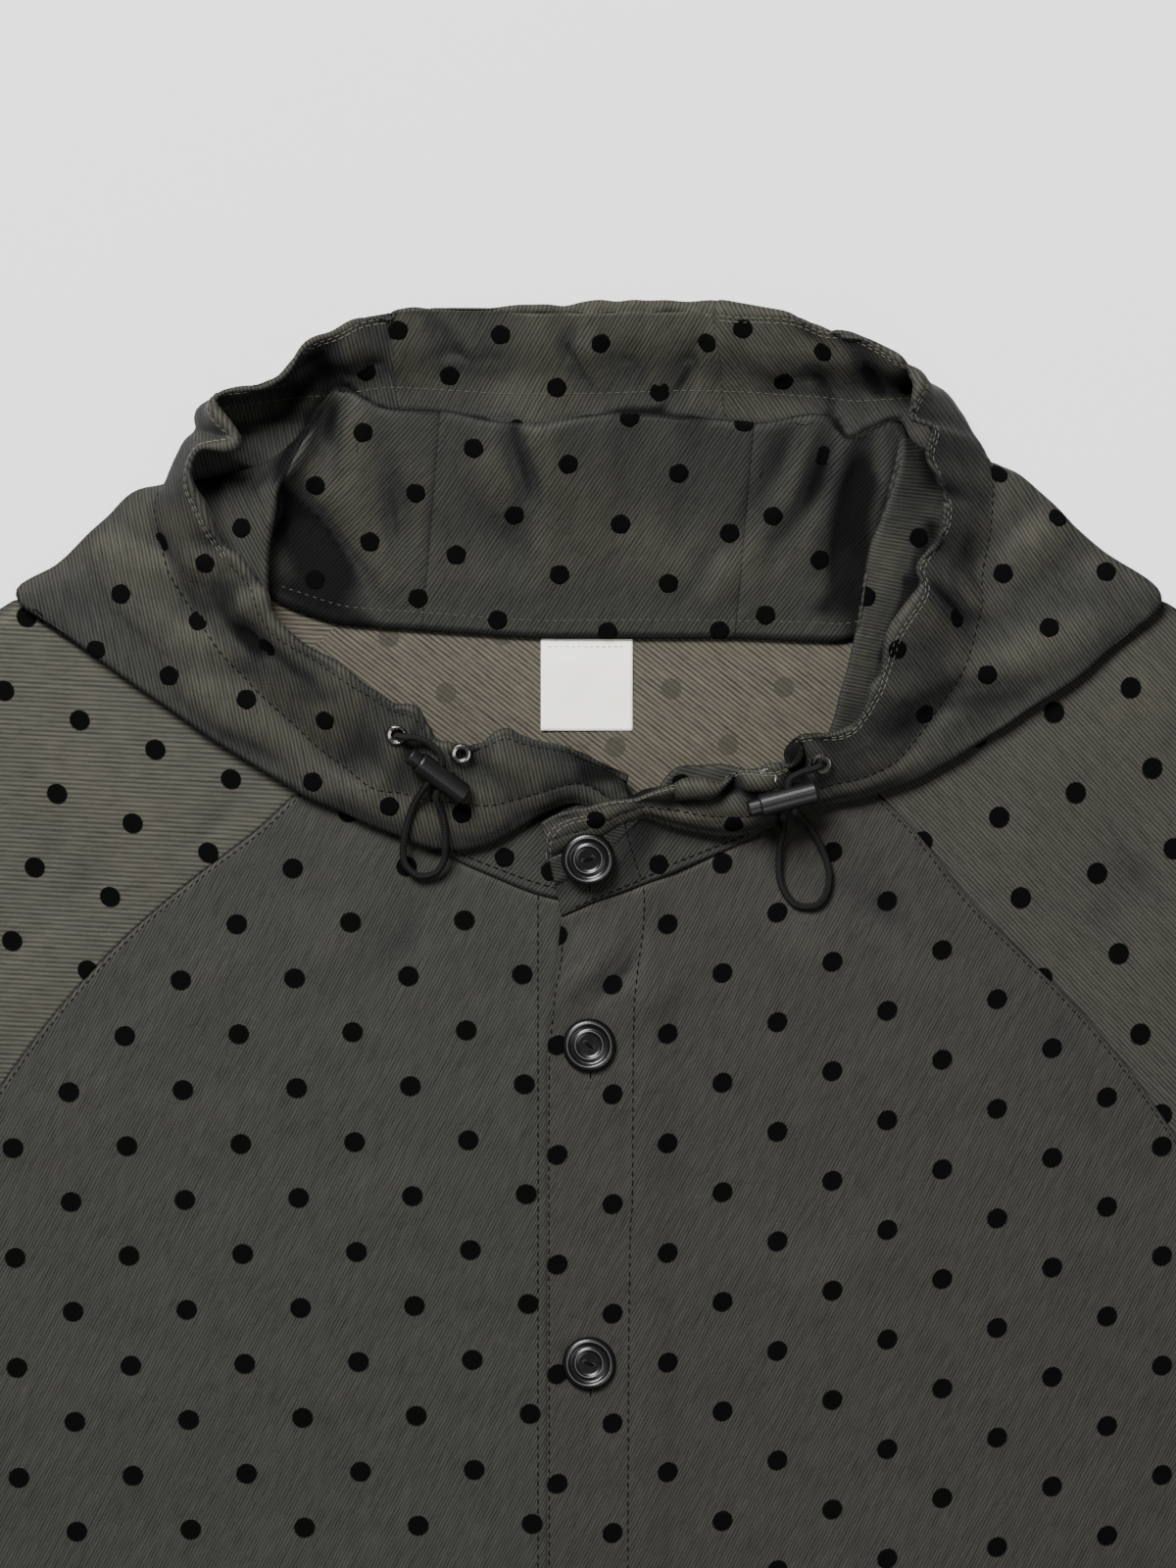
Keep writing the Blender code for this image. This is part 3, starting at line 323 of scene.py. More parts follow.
# the cut and the lay, as the solids have them
hoodLines = ("seam", "inner", "outer", "channel", "crest")
hoodColumns = [line + axis for line in hoodLines for axis in "XY"]  # after the place
hoodColumns += [line + "Z" for line in hoodLines] + ["turn", "roll", "lip"]
hoodRows = [  # the place round the neck, then x and y of each of the hoodLines
    (0, 18, 195, 17.6, 208.9, 17.2, 219.4, 16.1, 229.9, 15, 241.1),
    (1, 0, 195, -0.8, 230.6, -1.1, 232.9, -1.9, 240.4, -3.4, 250.9),
    (2, -18, 198, -16.5, 245.6, -17.2, 229.5, -18.4, 238.1, -20.2, 254.6),
    (3, -35.6, 204.8, -34.5, 247.1, -36.4, 218.2, -34.9, 233.2, -33, 256.9),
    (4, -54.4, 213.4, -51, 247.1, -53.6, 215.6, -51.4, 234, -47.2, 252.8),
    (5, -74.2, 226.1, -65.6, 250.9, -73.1, 221.6, -68.6, 236.6, -60.8, 256.5),
    (6, -89.2, 238.5, -79.5, 258.4, -91.9, 229.1, -85.5, 241.5, -73.1, 266.6),
    (8, -117, 272.2, -109.5, 281.6, -131.2, 249.8, -120.8, 271.9, -104.2, 286.9),
    (9, -126, 289.9, -118.5, 297.4, -151.5, 263.6, -135, 286.1, -120.4, 298.9),
    (10, -132, 304.1, -123, 310.9, -183.8, 286.5, -147.4, 301.9, -128.6, 314.2),
    (11, -135.4, 315.4, -123.8, 322.9, -216.8, 311.2, -156, 315.4, -136.5, 324.4),
    (12, -135.8, 322.9, -122.6, 333.4, -201.8, 324.8, -161.2, 327.4, -142.5, 331.5),
    (13, -133.9, 327.4, -120, 345.4, -184.5, 340.1, -163.1, 337.9, -147.8, 341.6),
    (14, -130.9, 324, -117.4, 354.4, -168.8, 353.2, -163.5, 349.9, -152.2, 352.9),
    (16, -122.2, 312.4, -105.8, 375.4, -126.8, 356.6, -153.8, 368.2, -148.1, 367.9),
    (17, -116.2, 308.6, -100.1, 384.8, -108.8, 349.1, -149.2, 374.6, -135.8, 370.9),
    (18, -110.2, 306, -94.5, 390.4, -97.5, 343.5, -145.5, 381.8, -142.9, 384),
    (20, -95.6, 301.5, -84.4, 385.1, -82.5, 337.1, -114.4, 387.4, -116.2, 394.9),
    (21, -85.5, 300.4, -76.5, 382.1, -75.8, 334.9, -95.6, 389.2, -101.2, 409.1),
    (23, -63.4, 298.9, -56.2, 381.4, -60, 331.9, -73.5, 391.9, -75.4, 419.2),
    (25, -20.6, 296.2, -20.6, 374.6, -20.6, 329.6, -30, 389.6, -30, 420.4),
    (26, 0, 295.9, 0, 378.8, 0, 328.9, -7.5, 389.6, -8.2, 420.4),
    (27, 20.6, 295.9, 18.8, 380.6, 20.6, 329.2, 11.2, 390, 13.5, 420.8),
    (29, 56.2, 295.9, 63, 376.5, 60, 331.9, 51.4, 390.8, 54.8, 420.4),
    (31, 87, 294.8, 91.1, 379.1, 85.5, 334.9, 87, 388.1, 89.2, 413.6),
    (32, 98.2, 295.1, 98.2, 371.6, 93.8, 336.4, 104.2, 386.6, 106.5, 408.4),
    (34, 118.1, 301.5, 111.4, 376.1, 108.8, 341.6, 133.9, 387.4, 126, 393.4),
    (35, 126.8, 310.1, 115.5, 378, 114.4, 351, 142.5, 381, 124.9, 384.4),
    (36, 132.8, 320.6, 118.1, 376.9, 123.8, 360.4, 147.4, 373.9, 123.8, 379.1),
    (37, 135.8, 327.4, 119.2, 369.8, 144.4, 364.1, 151.1, 367.9, 131.6, 375.4),
    (38, 137.2, 322.1, 117.4, 357.4, 161.2, 359.6, 152.6, 359.6, 131.2, 364.9),
    (39, 136.1, 314.6, 113.2, 343.5, 174, 348.8, 153.4, 349.9, 136.9, 351.4),
    (40, 133.9, 307.1, 108.8, 330.4, 195, 329.6, 152.6, 336, 135, 337.9),
    (41, 131.2, 299.6, 105.8, 315.4, 217.1, 310.9, 150.4, 321, 128.2, 325.9),
    (42, 126.8, 289.9, 103.5, 301.1, 194.2, 287.6, 148.9, 304.1, 128.6, 314.2),
    (43, 120, 277.1, 100.9, 288.4, 168.8, 269.6, 145.5, 292.1, 117.8, 296.6),
    (44, 111.8, 263.6, 97.1, 274.9, 150, 256.9, 138, 275.6, 112.5, 280.9),
    (45, 100.5, 249.4, 94.5, 264.4, 127.5, 244.1, 120.8, 253.1, 106.5, 267.4),
    (46, 88.5, 238.1, 89.2, 254.6, 108.8, 236.6, 105, 243.8, 96.4, 257.2),
    (47, 75, 227.6, 77.2, 248.6, 88.1, 231.4, 85.5, 238.1, 81.8, 254.6),
    (48, 60.8, 219, 63, 245.6, 69.4, 223.5, 69.8, 230.6, 73.9, 244.9),
    (49, 45, 211.9, 46.5, 247.9, 48, 220.9, 48, 228.4, 53.2, 244.1),
    (50, 30, 205.5, 30.8, 245.6, 29.2, 225.4, 28.5, 230.6, 31.5, 245.6),
    (51, 15, 199.9, 15, 225.4, 14.2, 227.6, 14.2, 232.1, 15, 241.1),
    (52, 1.9, 195.4, 0.8, 208.5, 0, 217.9, 0, 224.6, 0, 235.9),
    (53, -10.1, 190.1, -12.4, 201, -15.8, 211.1, -17.2, 217.9, -17.6, 225.4)]
hoodHeights = [  # z of each of the hoodLines, then the turn, the roll and the lip
    (2.6, 3.3, 4.8, 6, 8.5, 0, 0, 2.5), (2.6, 5.8, 6.4, 7.8, 11, 0, 0.3, 2),
    (2.8, 6, 7.2, 11, 16, 0, 1.5, 2), (2.8, 6.4, 7.2, 12, 19, 0, 1.6, 2),
    (2.8, 6.8, 7.2, 12.5, 21, 0, 1.6, 2), (2.8, 8, 7.2, 12.5, 22, 0, 1.6, 2),
    (2.8, 9, 7.2, 11.5, 24, 0, 1.6, 2), (2.8, 10, 7.2, 11, 26, 0, 1.6, 2),
    (2.8, 11, 7.2, 11, 26, 0, 1.6, 2), (2.8, 12, 7, 11, 26, 0, 1.6, 2),
    (2.8, 13, 6.2, 10.5, 26, 10, 1.6, 2), (2.7, 14, 4.2, 11, 27, 25, 1.6, 2),
    (2.5, 16, 3, 12, 29, 45, 1.6, 2), (2.4, 18, 2.6, 13, 31, 60, 1.6, 2),
    (2.3, 19, 1.2, 12, 33, 85, 1.8, 2), (2.3, 19.5, 1.4, 11, 34, 100, 1.8, 2),
    (2.3, 20, 1.8, 10, 33, 115, 1.8, 2), (2.3, 20, 2.4, 6, 27, 140, 1.8, 2),
    (2.3, 20, 2.6, 3, 20, 155, 1.8, 1.5), (2.3, 21, 2.8, 1.3, 12, 170, 1.8, 1.5),
    (2.3, 21, 2.8, 1.1, 10, 180, 1.8, 1.5), (2.3, 22, 2.8, 1.1, 9, 180, 1.8, 1.5),
    (2.3, 22, 2.8, 1.1, 10, 180, 1.8, 1.5), (2.3, 21, 2.8, 1.3, 12, 170, 1.8, 1.5),
    (2.3, 20, 2.6, 3, 20, 155, 1.8, 1.5), (2.3, 20, 2.4, 6, 26, 140, 1.8, 2),
    (2.3, 20, 1.8, 10, 32, 115, 1.8, 2), (2.3, 19.5, 1.4, 12, 34, 100, 1.8, 2),
    (2.3, 19, 1.2, 13, 33, 85, 1.8, 2), (2.4, 18, 2.6, 12, 31, 60, 1.6, 2),
    (2.6, 17, 3.2, 12, 29, 45, 1.6, 2), (2.8, 16, 4.6, 11, 27, 25, 1.6, 2),
    (2.8, 15, 6.2, 11, 26, 10, 1.6, 2), (2.8, 15, 7, 11, 26, 0, 1.6, 2), (2.8, 14, 7.2, 11, 26, 0, 1.6, 2),
    (2.8, 13, 7.2, 11, 26, 0, 1.6, 2), (2.8, 12, 7.2, 11.5, 26, 0, 1.6, 2),
    (2.8, 10, 7.2, 12, 24, 0, 1.6, 2), (2.8, 9, 7.2, 12.5, 22, 0, 1.6, 2),
    (2.8, 8, 7.2, 12.5, 21, 0, 1.6, 2), (2.8, 7, 7.4, 13, 21, 0, 1.6, 2),
    (3.2, 7.2, 8.2, 13.5, 20, 0, 1.6, -3), (4, 8.4, 9.6, 14.5, 19, 0, 1.6, -7.5),
    (4.7, 11, 11.6, 14.5, 18, 0, 0.3, -6.8), (4.7, 9, 12, 14, 17, 0, 0, -5.6),
    (4.7, 7.5, 10, 12, 14, 0, 0, -1.5)]
hoodTable = np.hstack([hoodRows, hoodHeights])
frontRaglanLeft = [(-110.6, 237.4), (-125.6, 223.5), (-150, 204.8), (-176.3, 182.3), (-202.5, 154.1),
                   (-225, 124.1), (-247.5, 90.4), (-266.3, 56.6), (-288.8, 19.1), (-308, 0)]
frontRaglanRight = [(111.4, 235.9), (125.6, 221.6), (146.3, 195.4), (165, 176.6), (183.8, 157.9),
                    (206.3, 131.6), (225, 105.4), (247, 76), (270, 45), (290, 18), (308, 0)]
backRaglan = [(-130, 268), (-165, 226), (-200, 176), (-235, 120), (-270, 62), (-308, 0)]
sleeveTop = [(-217.5, 310.9), (-225, 306.8), (-290, 272), (-370, 222), (-480, 130), (-600, 10),
             (-700, -93), (-778, -173)]
sleeveUnder = [(-308, 0), (-420, -78), (-555, -175), (-685, -270)]
cut = {"bodyWall": 1.2, "hoodWall": 1.6, "backZ": 0.6, "frontZ": 2.6, "placketZ": 4.4, "hemY": -423.0,
       "sideX": 308.0, "rightEdge": -15.8, "ramp": (22.0, 36.0), "raglanLeft": 6.6,
       "shoulderLeft": 12.5, "backLeft": 20.0, "backRight": 31.7, "shoulderRight": 37.5, "raglanRight": 45.1,
       "gusset": (23.0, 29.0), "seamGap": -0.04}


def hermite(xs, ys, at):
    # smooth curve through the rows of ys, one for each of xs
    xs, ys = np.asarray(xs, float), np.asarray(ys, float)
    slopes = np.empty_like(ys)
    slopes[1:-1] = (ys[2:] - ys[:-2]) / (xs[2:] - xs[:-2])[:, None]
    slopes[0] = (ys[1] - ys[0]) / (xs[1] - xs[0])
    slopes[-1] = (ys[-1] - ys[-2]) / (xs[-1] - xs[-2])
    at = np.atleast_1d(np.asarray(at, float))
    i = np.clip(np.searchsorted(xs, at, side="right") - 1, 0, len(xs) - 2)
    step = xs[i + 1] - xs[i]
    t = ((at - xs[i]) / step)[:, None]
    step = step[:, None]
    return ((2 * t**3 - 3 * t**2 + 1) * ys[i] + (t**3 - 2 * t**2 + t) * step * slopes[i]
            + (-2 * t**3 + 3 * t**2) * ys[i + 1] + (t**3 - t**2) * step * slopes[i + 1])


def lengths(points):
    return np.r_[0, np.cumsum(np.linalg.norm(np.diff(points, axis=0), axis=1))]


def along(points, count):
    # count points spaced evenly along a smooth curve
    points = np.asarray(points, float)
    steps = lengths(points)
    fine = hermite(steps, points, np.linspace(0, steps[-1], 600))
    steps = lengths(fine)
    wanted = np.linspace(0, steps[-1], count)
    return np.stack([np.interp(wanted, steps, fine[:, k]) for k in range(points.shape[1])], axis=1)


def unit(vectors):
    return vectors / np.maximum(np.linalg.norm(vectors, axis=-1, keepdims=True), 1e-9)


def bell(distance, width):
    return np.exp(-(distance / width) ** 2)


def ramp(value, low, high):
    t = np.clip((value - low) / (high - low), 0, 1)
    return t * t * (3 - 2 * t)


def waves(x, y, length, count=9, seed=1):
    # soft random swell of about that wavelength, near -1 to 1
    pick = np.random.default_rng(seed)
    total = 0
    for _ in range(count):
        turn = pick.uniform(0, 2 * math.pi)
        pull = 2 * math.pi / (length * pick.uniform(0.7, 1.6))
        total = total + np.sin(pull * (x * math.cos(turn) + y * math.sin(turn)) + pick.uniform(0, 6.3))
    return total / math.sqrt(count)


def creased(x, y, rows):
    # rows in pixels of the photograph: x1, y1, x2, y2, width, depth in millimetres; below zero is a trough
    total = np.zeros_like(x)
    for x1, y1, x2, y2, width, depth in rows:
        start, end = np.array(fromPixel(x1, y1)), np.array(fromPixel(x2, y2))
        way = end - start
        span = float(np.hypot(*way))
        share = ((x - start[0]) * way[0] + (y - start[1]) * way[1]) / span**2
        inside = np.clip(share, 0, 1)
        bow = 0.06 * span * np.sin(inside * 5.0 + x1)
        off = ((x - start[0]) * -way[1] + (y - start[1]) * way[0]) / span + bow
        past = (share - inside) * span
        share = (0.2 + 0.8 * np.sin(math.pi * (0.08 + 0.84 * inside))) * bell(past, 1.5 * width)
        total += depth * share * (bell(off, width) - 0.55 * bell(off - 1.75 * width, 1.15 * width))
    return total


def stretch(value, low, full, fading, gone):
    # rises from low to full and falls from fading to gone
    return ramp(value, low, full) * (1 - ramp(value, fading, gone))


def gridFaces(rows, columns, closed=False, flip=False):
    i, j = np.meshgrid(np.arange(rows - 1), np.arange(columns if closed else columns - 1), indexing="ij")
    near, far = i * columns, (i + 1) * columns
    k = (j + 1) % columns
    quads = np.stack([near + j, near + k, far + k, far + j], axis=-1).reshape(-1, 4)
    return quads[:, ::-1] if flip else quads


def treeOf(points, faces):
    return BVHTree.FromPolygons([Vector(p) for p in points.reshape(-1, 3)], faces.tolist())


def layer(data, name, values):
    # one pair of coordinates for each vertex
    made = data.uv_layers.new(name=name)
    order = np.empty(len(data.loops), np.int32)
    data.loops.foreach_get("vertex_index", order)
    made.data.foreach_set("uv", np.asarray(values, np.float32)[order].ravel())


def addMesh(name, points, faces, surface, cloth=None, dots=None, fold=None, wall=0.0, nodes=()):
    # a second surface is for the wall's inner face
    surfaces = (surface,) if isinstance(surface, str) else surface
    data = bpy.data.meshes.new(name)
    spots = np.asarray(points, float).reshape(-1, 3) * mm
    data.from_pydata(spots.tolist(), [], [list(map(int, face)) for face in faces])
    data.update()
    data.shade_smooth()
    if cloth is not None:
        layer(data, "cloth", np.asarray(cloth, float).reshape(-1, 2) * mm)
    if dots is not None:
        layer(data, "dots", dots.reshape(-1, 2))
    # the painted shade and sheen of the folds, as a layer of its own
    if fold is not None:
        value = np.clip(fold.reshape(-1), 0, 1)
        layer(data, "fold", np.stack([value, 0 * value], axis=-1))
    for each in surfaces:
        data.materials.append(materials[each])
    made = bpy.data.objects.new(name, data)
    wholeScene.collection.objects.link(made)
    if wall:
        skin = made.modifiers.new("wall", "SOLIDIFY")
        skin.thickness = wall * mm
        skin.offset = 0.0
        skin.material_offset = skin.material_offset_rim = len(surfaces) - 1
    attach(made, rootBody)
    if nodes:
        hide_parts(*nodes)
    return made


def areaOf(grid, closed=False):
    if closed:
        grid = np.concatenate([grid, grid[:, :1]], axis=1)
    a, b = grid[1:, 1:] - grid[:-1, :-1], grid[1:, :-1] - grid[:-1, 1:]
    return float(np.linalg.norm(np.cross(a, b), axis=-1).sum() / 2)


def longest(lines):
    # of about a dozen of them
    return max(lengths(line)[-1] for line in lines[:: max(1, len(lines) // 12)])


def laid(piece, grid, held, closed=False):
    if held == "folded":
        width, length = longest(grid), longest(np.swapaxes(grid, 0, 1))
    else:
        spots = grid.reshape(-1, 3)[:, :2]
        if closed:  # a tube lies double, along its own length
            spots = spots - spots.mean(axis=0)
            spots = spots @ np.linalg.svd(spots, full_matrices=False)[2][::-1].T * (2.0, 1.0)
        width, length = np.ptp(spots, axis=0)
    width, length = float(width) * mm, float(length) * mm
    area = min(areaOf(grid, closed) * mm * mm, width * length)
    print("cloth", piece.name, "flat", round(width, 3), round(length, 3), "area", round(area, 4))


def tubeMesh(name, path, radius, surface, sides=12, nodes=()):
    path = np.asarray(path, float)
    tangent = unit(np.gradient(path, axis=0))
    side = unit(np.cross(tangent[0], (0.0, 0.3, 1.0)))
    rings = []
    for point, ahead in zip(path, tangent):
        side = unit(side - ahead * float(side @ ahead))
        other = np.cross(ahead, side)
        turn = np.linspace(0, 2 * math.pi, sides, endpoint=False)[:, None]
        rings.append(point + radius * (np.cos(turn) * side + np.sin(turn) * other))
    points = np.array(rings).reshape(-1, 3)
    faces = gridFaces(len(path), sides, closed=True).tolist()
    faces += [list(range(sides))[::-1], list(range((len(path) - 1) * sides, len(path) * sides))]
    far = np.repeat(lengths(path), sides)
    girth = np.tile(np.linspace(0, 2 * math.pi * radius, sides, endpoint=False), len(path))
    return addMesh(name, points, faces, surface, np.stack([far, girth], axis=1), nodes=nodes)


print("stage: cords")
cordSettings = {"radius": 1.4, "points": 170}
cordRoutes = {  # from the eyelet round the loop and back into the lock, as the solids have it
    "left": [(-72.9, 258.6, 25.1), (-69.4, 258.0, 26.1), (-66.0, 257.9, 25.6), (-61.2, 256.4, 24.9),
             (-58.5, 254.2, 24.4), (-56.2, 251.7, 23.9), (-55.7, 247.7, 23.2), (-57.8, 244.9, 23.2),
             (-60.9, 240.8, 23.2), (-62.5, 238.4, 21.3), (-63.9, 236.5, 19.3), (-65.7, 233.6, 16.7),
             (-66.9, 231.0, 15.2), (-68.6, 226.2, 13.2), (-69.4, 222.9, 12.1), (-70.0, 219.8, 10.8),
             (-70.5, 215.7, 8.6), (-70.5, 212.8, 7.4), (-69.7, 209.6, 6.5), (-66.2, 205.9, 5.8),
             (-62.9, 205.1, 5.8), (-58.0, 206.5, 6.5), (-55.8, 209.1, 7.5), (-54.6, 212.2, 8.9),
             (-54.3, 216.1, 11.4), (-54.4, 218.7, 12.3), (-54.6, 223.5, 13.7), (-55.0, 226.9, 14.9),
             (-55.7, 229.8, 16.2), (-57.1, 233.2, 18.6), (-57.7, 235.6, 20.4), (-56.0, 239.8, 22.1),
             (-53.8, 242.4, 22.0), (-51.7, 245.2, 22.0)],
    "right": [(88.9, 247.3, 21.6), (85.3, 245.9, 22.0), (81.9, 245.0, 21.9), (77.0, 242.3, 21.7),
              (76.3, 239.3, 20.9), (77.2, 235.7, 20.9), (78.5, 230.2, 21.0), (79.8, 228.4, 18.0),
              (81.4, 227.1, 13.8), (82.5, 226.2, 11.3), (83.9, 224.9, 9.2), (86.6, 220.8, 7.0),
              (88.4, 217.6, 6.1), (90.6, 212.4, 5.3), (91.7, 208.7, 5.1), (92.2, 205.0, 5.0),
              (91.3, 199.4, 5.0), (89.6, 196.0, 5.0), (86.6, 193.8, 5.0), (81.1, 193.7, 5.0),
              (77.8, 195.6, 5.0), (74.6, 200.2, 5.1), (73.4, 203.8, 5.2), (72.9, 207.5, 5.5),
              (73.0, 213.2, 6.4), (73.3, 216.9, 7.5), (74.4, 222.5, 9.7), (74.8, 225.6, 11.5),
              (74.8, 226.6, 13.5), (74.6, 227.2, 16.7), (74.4, 227.6, 19.0), (73.4, 231.1, 21.4),
              (72.5, 234.7, 21.4), (71.6, 238.4, 21.4)]}
for side, route in cordRoutes.items():
    path = along(route, cordSettings["points"])
    cordPiece = tubeMesh(f"drawcord_{side}", path, cordSettings["radius"], "cordBraid",
                         nodes=[f"cord_{side}"])


def hoodValues(places):
    values = hermite(hoodTable[:, 0], hoodTable[:, 1:], places)
    return {name: values[:, k] for k, name in enumerate(hoodColumns)}


def hoodSections(places):
    # control points of the wall's middle from the neck seam to the free edge, as in the solids
    v = hoodValues(places)
    seam, inner, outer, channel, crest = (np.stack([v[line + axis] for axis in "XYZ"], axis=1)
                                          for line in hoodLines)
    ahead, behind = hoodValues(np.asarray(places) + 0.3), hoodValues(np.asarray(places) - 0.3)
    tangent = unit(np.stack([ahead["innerX"] - behind["innerX"] + ahead["channelX"] - behind["channelX"],
                             ahead["innerY"] - behind["innerY"] + ahead["channelY"] - behind["channelY"],
                             0 * v["seamX"]], axis=1))
    outward = np.stack([-tangent[:, 1], tangent[:, 0], tangent[:, 2]], axis=1)
    turn = np.radians(v["turn"])[:, None]
    stack = np.cos(turn) * np.array([0, 0, 1.0]) + np.sin(turn) * outward
    roll = np.maximum(v["roll"], 0)[:, None]
    first, second = unit(inner - seam), unit(outer - inner)
    innerIn, innerOut = inner - (first + stack) * roll, inner - (first - stack) * roll
    outerIn, outerOut = outer - (second + stack) * roll, outer - (second - stack) * roll
    flat, low = np.array([1.0, 1.0, 0.0]), np.array([0, 0, 1.0])
    sag = outerIn * low + 0.3 * (innerOut - outerIn) * low
    middle = 0.5 * (innerOut + outerIn) * flat + sag
    folded = np.clip(v["roll"] / 1.5, 0, 1)[:, None]
    middle = folded * middle + (1 - folded) * 0.5 * (innerOut + outerIn)
    rise = seam + 0.45 * (innerIn - seam)
    rise[:, 2] = seam[:, 2] + 0.3 * (innerIn - seam)[:, 2]
    beforeCrest = channel + 0.6 * (crest - channel)
    beforeCrest[:, 2] = channel[:, 2] + 0.68 * (crest - channel)[:, 2]
    inward = unit((crest - channel) * flat)
    lip = v["lip"][:, None]
    edge = crest + inward * lip * 0.8 - low * np.abs(lip) * 0.5
    over = crest + inward * np.clip(lip, -1.5, 1.5) * 0.5 + low * 0.3
    return np.stack([seam, rise, innerIn, inner, innerOut, middle, outerIn, outer, outerOut,
                     0.5 * (outerOut + channel), channel, beforeCrest, crest, over, edge], axis=1)


# the stops down a section, one for each of its control points: the neck seam is 0, the free edge 9.7
sectionStops = np.array([0, 1, 2, 2.4, 2.8, 3.8, 4.8, 5.2, 5.6, 6.4, 7.2, 8.2, 9.0, 9.25, 9.7])
hoodSettings = {"step": 2.1, "stops": 108, "gather": 0.9, "gatherStep": 31.0, "swell": 0.8, "seamDepth": 0.55,
                "crease": 1.25, "edge": 0.9, "shear": 0.32, "loft": 1.3, "shade": 4.7, "lastPlace": 53.0,
                "lastStop": 9.7, "lowest": 4.9, "room": 0.55, "lining": 0.2, "farthest": 11}
hoodZones = {"back": (15, 18, 35, 38), "ridge": (13, 15, 36, 38), "hidden": (2.8, 3.2, 4.9, 5.3),
             "sideLoft": (5.5, 6.4, 7.4, 8.6), "backLoft": (0.2, 0.8, 1.4, 2.0)}
innerCreases = [  # on the panel that rises from the back neck
    (345, 405, 340, 495, 5, -2.4), (392, 468, 410, 572, 4, -1.8), (285, 505, 352, 592, 9, -5),
    (528, 432, 541, 512, 4.2, -3), (541, 512, 522, 585, 5, -1.3), (402, 545, 430, 580, 4, -1),
    (818, 444, 760, 528, 5, -2.8), (856, 440, 790, 556, 4.4, -3.2), (880, 470, 850, 600, 9, -4.5),
    (753, 546, 700, 606, 4, -2), (360, 560, 378, 604, 4, -1.2), (585, 560, 660, 600, 5, -0.5),
    (470, 500, 520, 560, 7, -0.6), (640, 428, 655, 480, 6, -0.7), (700, 430, 720, 520, 8, -0.7)]
bandCreases = [  # on the upper band behind the neck
    (592, 330, 580, 354, 3, -1.6), (580, 354, 590, 380, 3, -1.8), (590, 380, 606, 404, 3, -1.6),
    (714, 340, 708, 368, 3, -1.3), (712, 366, 668, 424, 3.4, -2.2), (440, 322, 452, 352, 3, -1.2),
    (459, 352, 474, 378, 3, -1.1), (325, 363, 348, 392, 5, -2.8), (375, 370, 396, 392, 4, -2.2),
    (753, 340, 768, 390, 4, -2.2), (818, 335, 832, 368, 3.4, -2.4), (826, 381, 852, 406, 5, -2.8),
    (866, 362, 898, 404, 5, -2.8), (776, 396, 846, 412, 5, -1.6), (300, 385, 345, 350, 4, -1.5),
    (510, 400, 498, 352, 4, -0.8), (640, 400, 648, 360, 4, -0.9)]
flapCreases = [  # on the upper layer of the two sides
    (171, 545, 197, 616, 4, -2.2), (226, 610, 262, 672, 6, -3), (268, 664, 322, 698, 3, -2),
    (150, 657, 256, 697, 5, -1.3), (169, 712, 280, 792, 6, -1.8), (60, 600, 190, 690, 7, -1.2),
    (100, 560, 210, 590, 6, 1.2), (300, 712, 350, 712, 3, -0.8), (485, 772, 526, 824, 5, -2.2),
    (330, 690, 400, 760, 5, 1), (805, 750, 816, 790, 3, -2.6), (901, 748, 1048, 696, 6, -2),
    (940, 600, 1004, 642, 4, -2.6), (988, 560, 1008, 620, 4, -1.6), (1000, 640, 1120, 560, 7, -1.6),
    (1040, 700, 1150, 610, 7, 1.2), (960, 760, 1060, 700, 6, -1.2), (735, 790, 775, 822, 3, -2.2),
    (755, 785, 742, 812, 2.4, -2), (640, 815, 750, 815, 3, -2), (1060, 500, 1010, 590, 6, -1.4),
    (420, 800, 330, 770, 6, -1.2)]


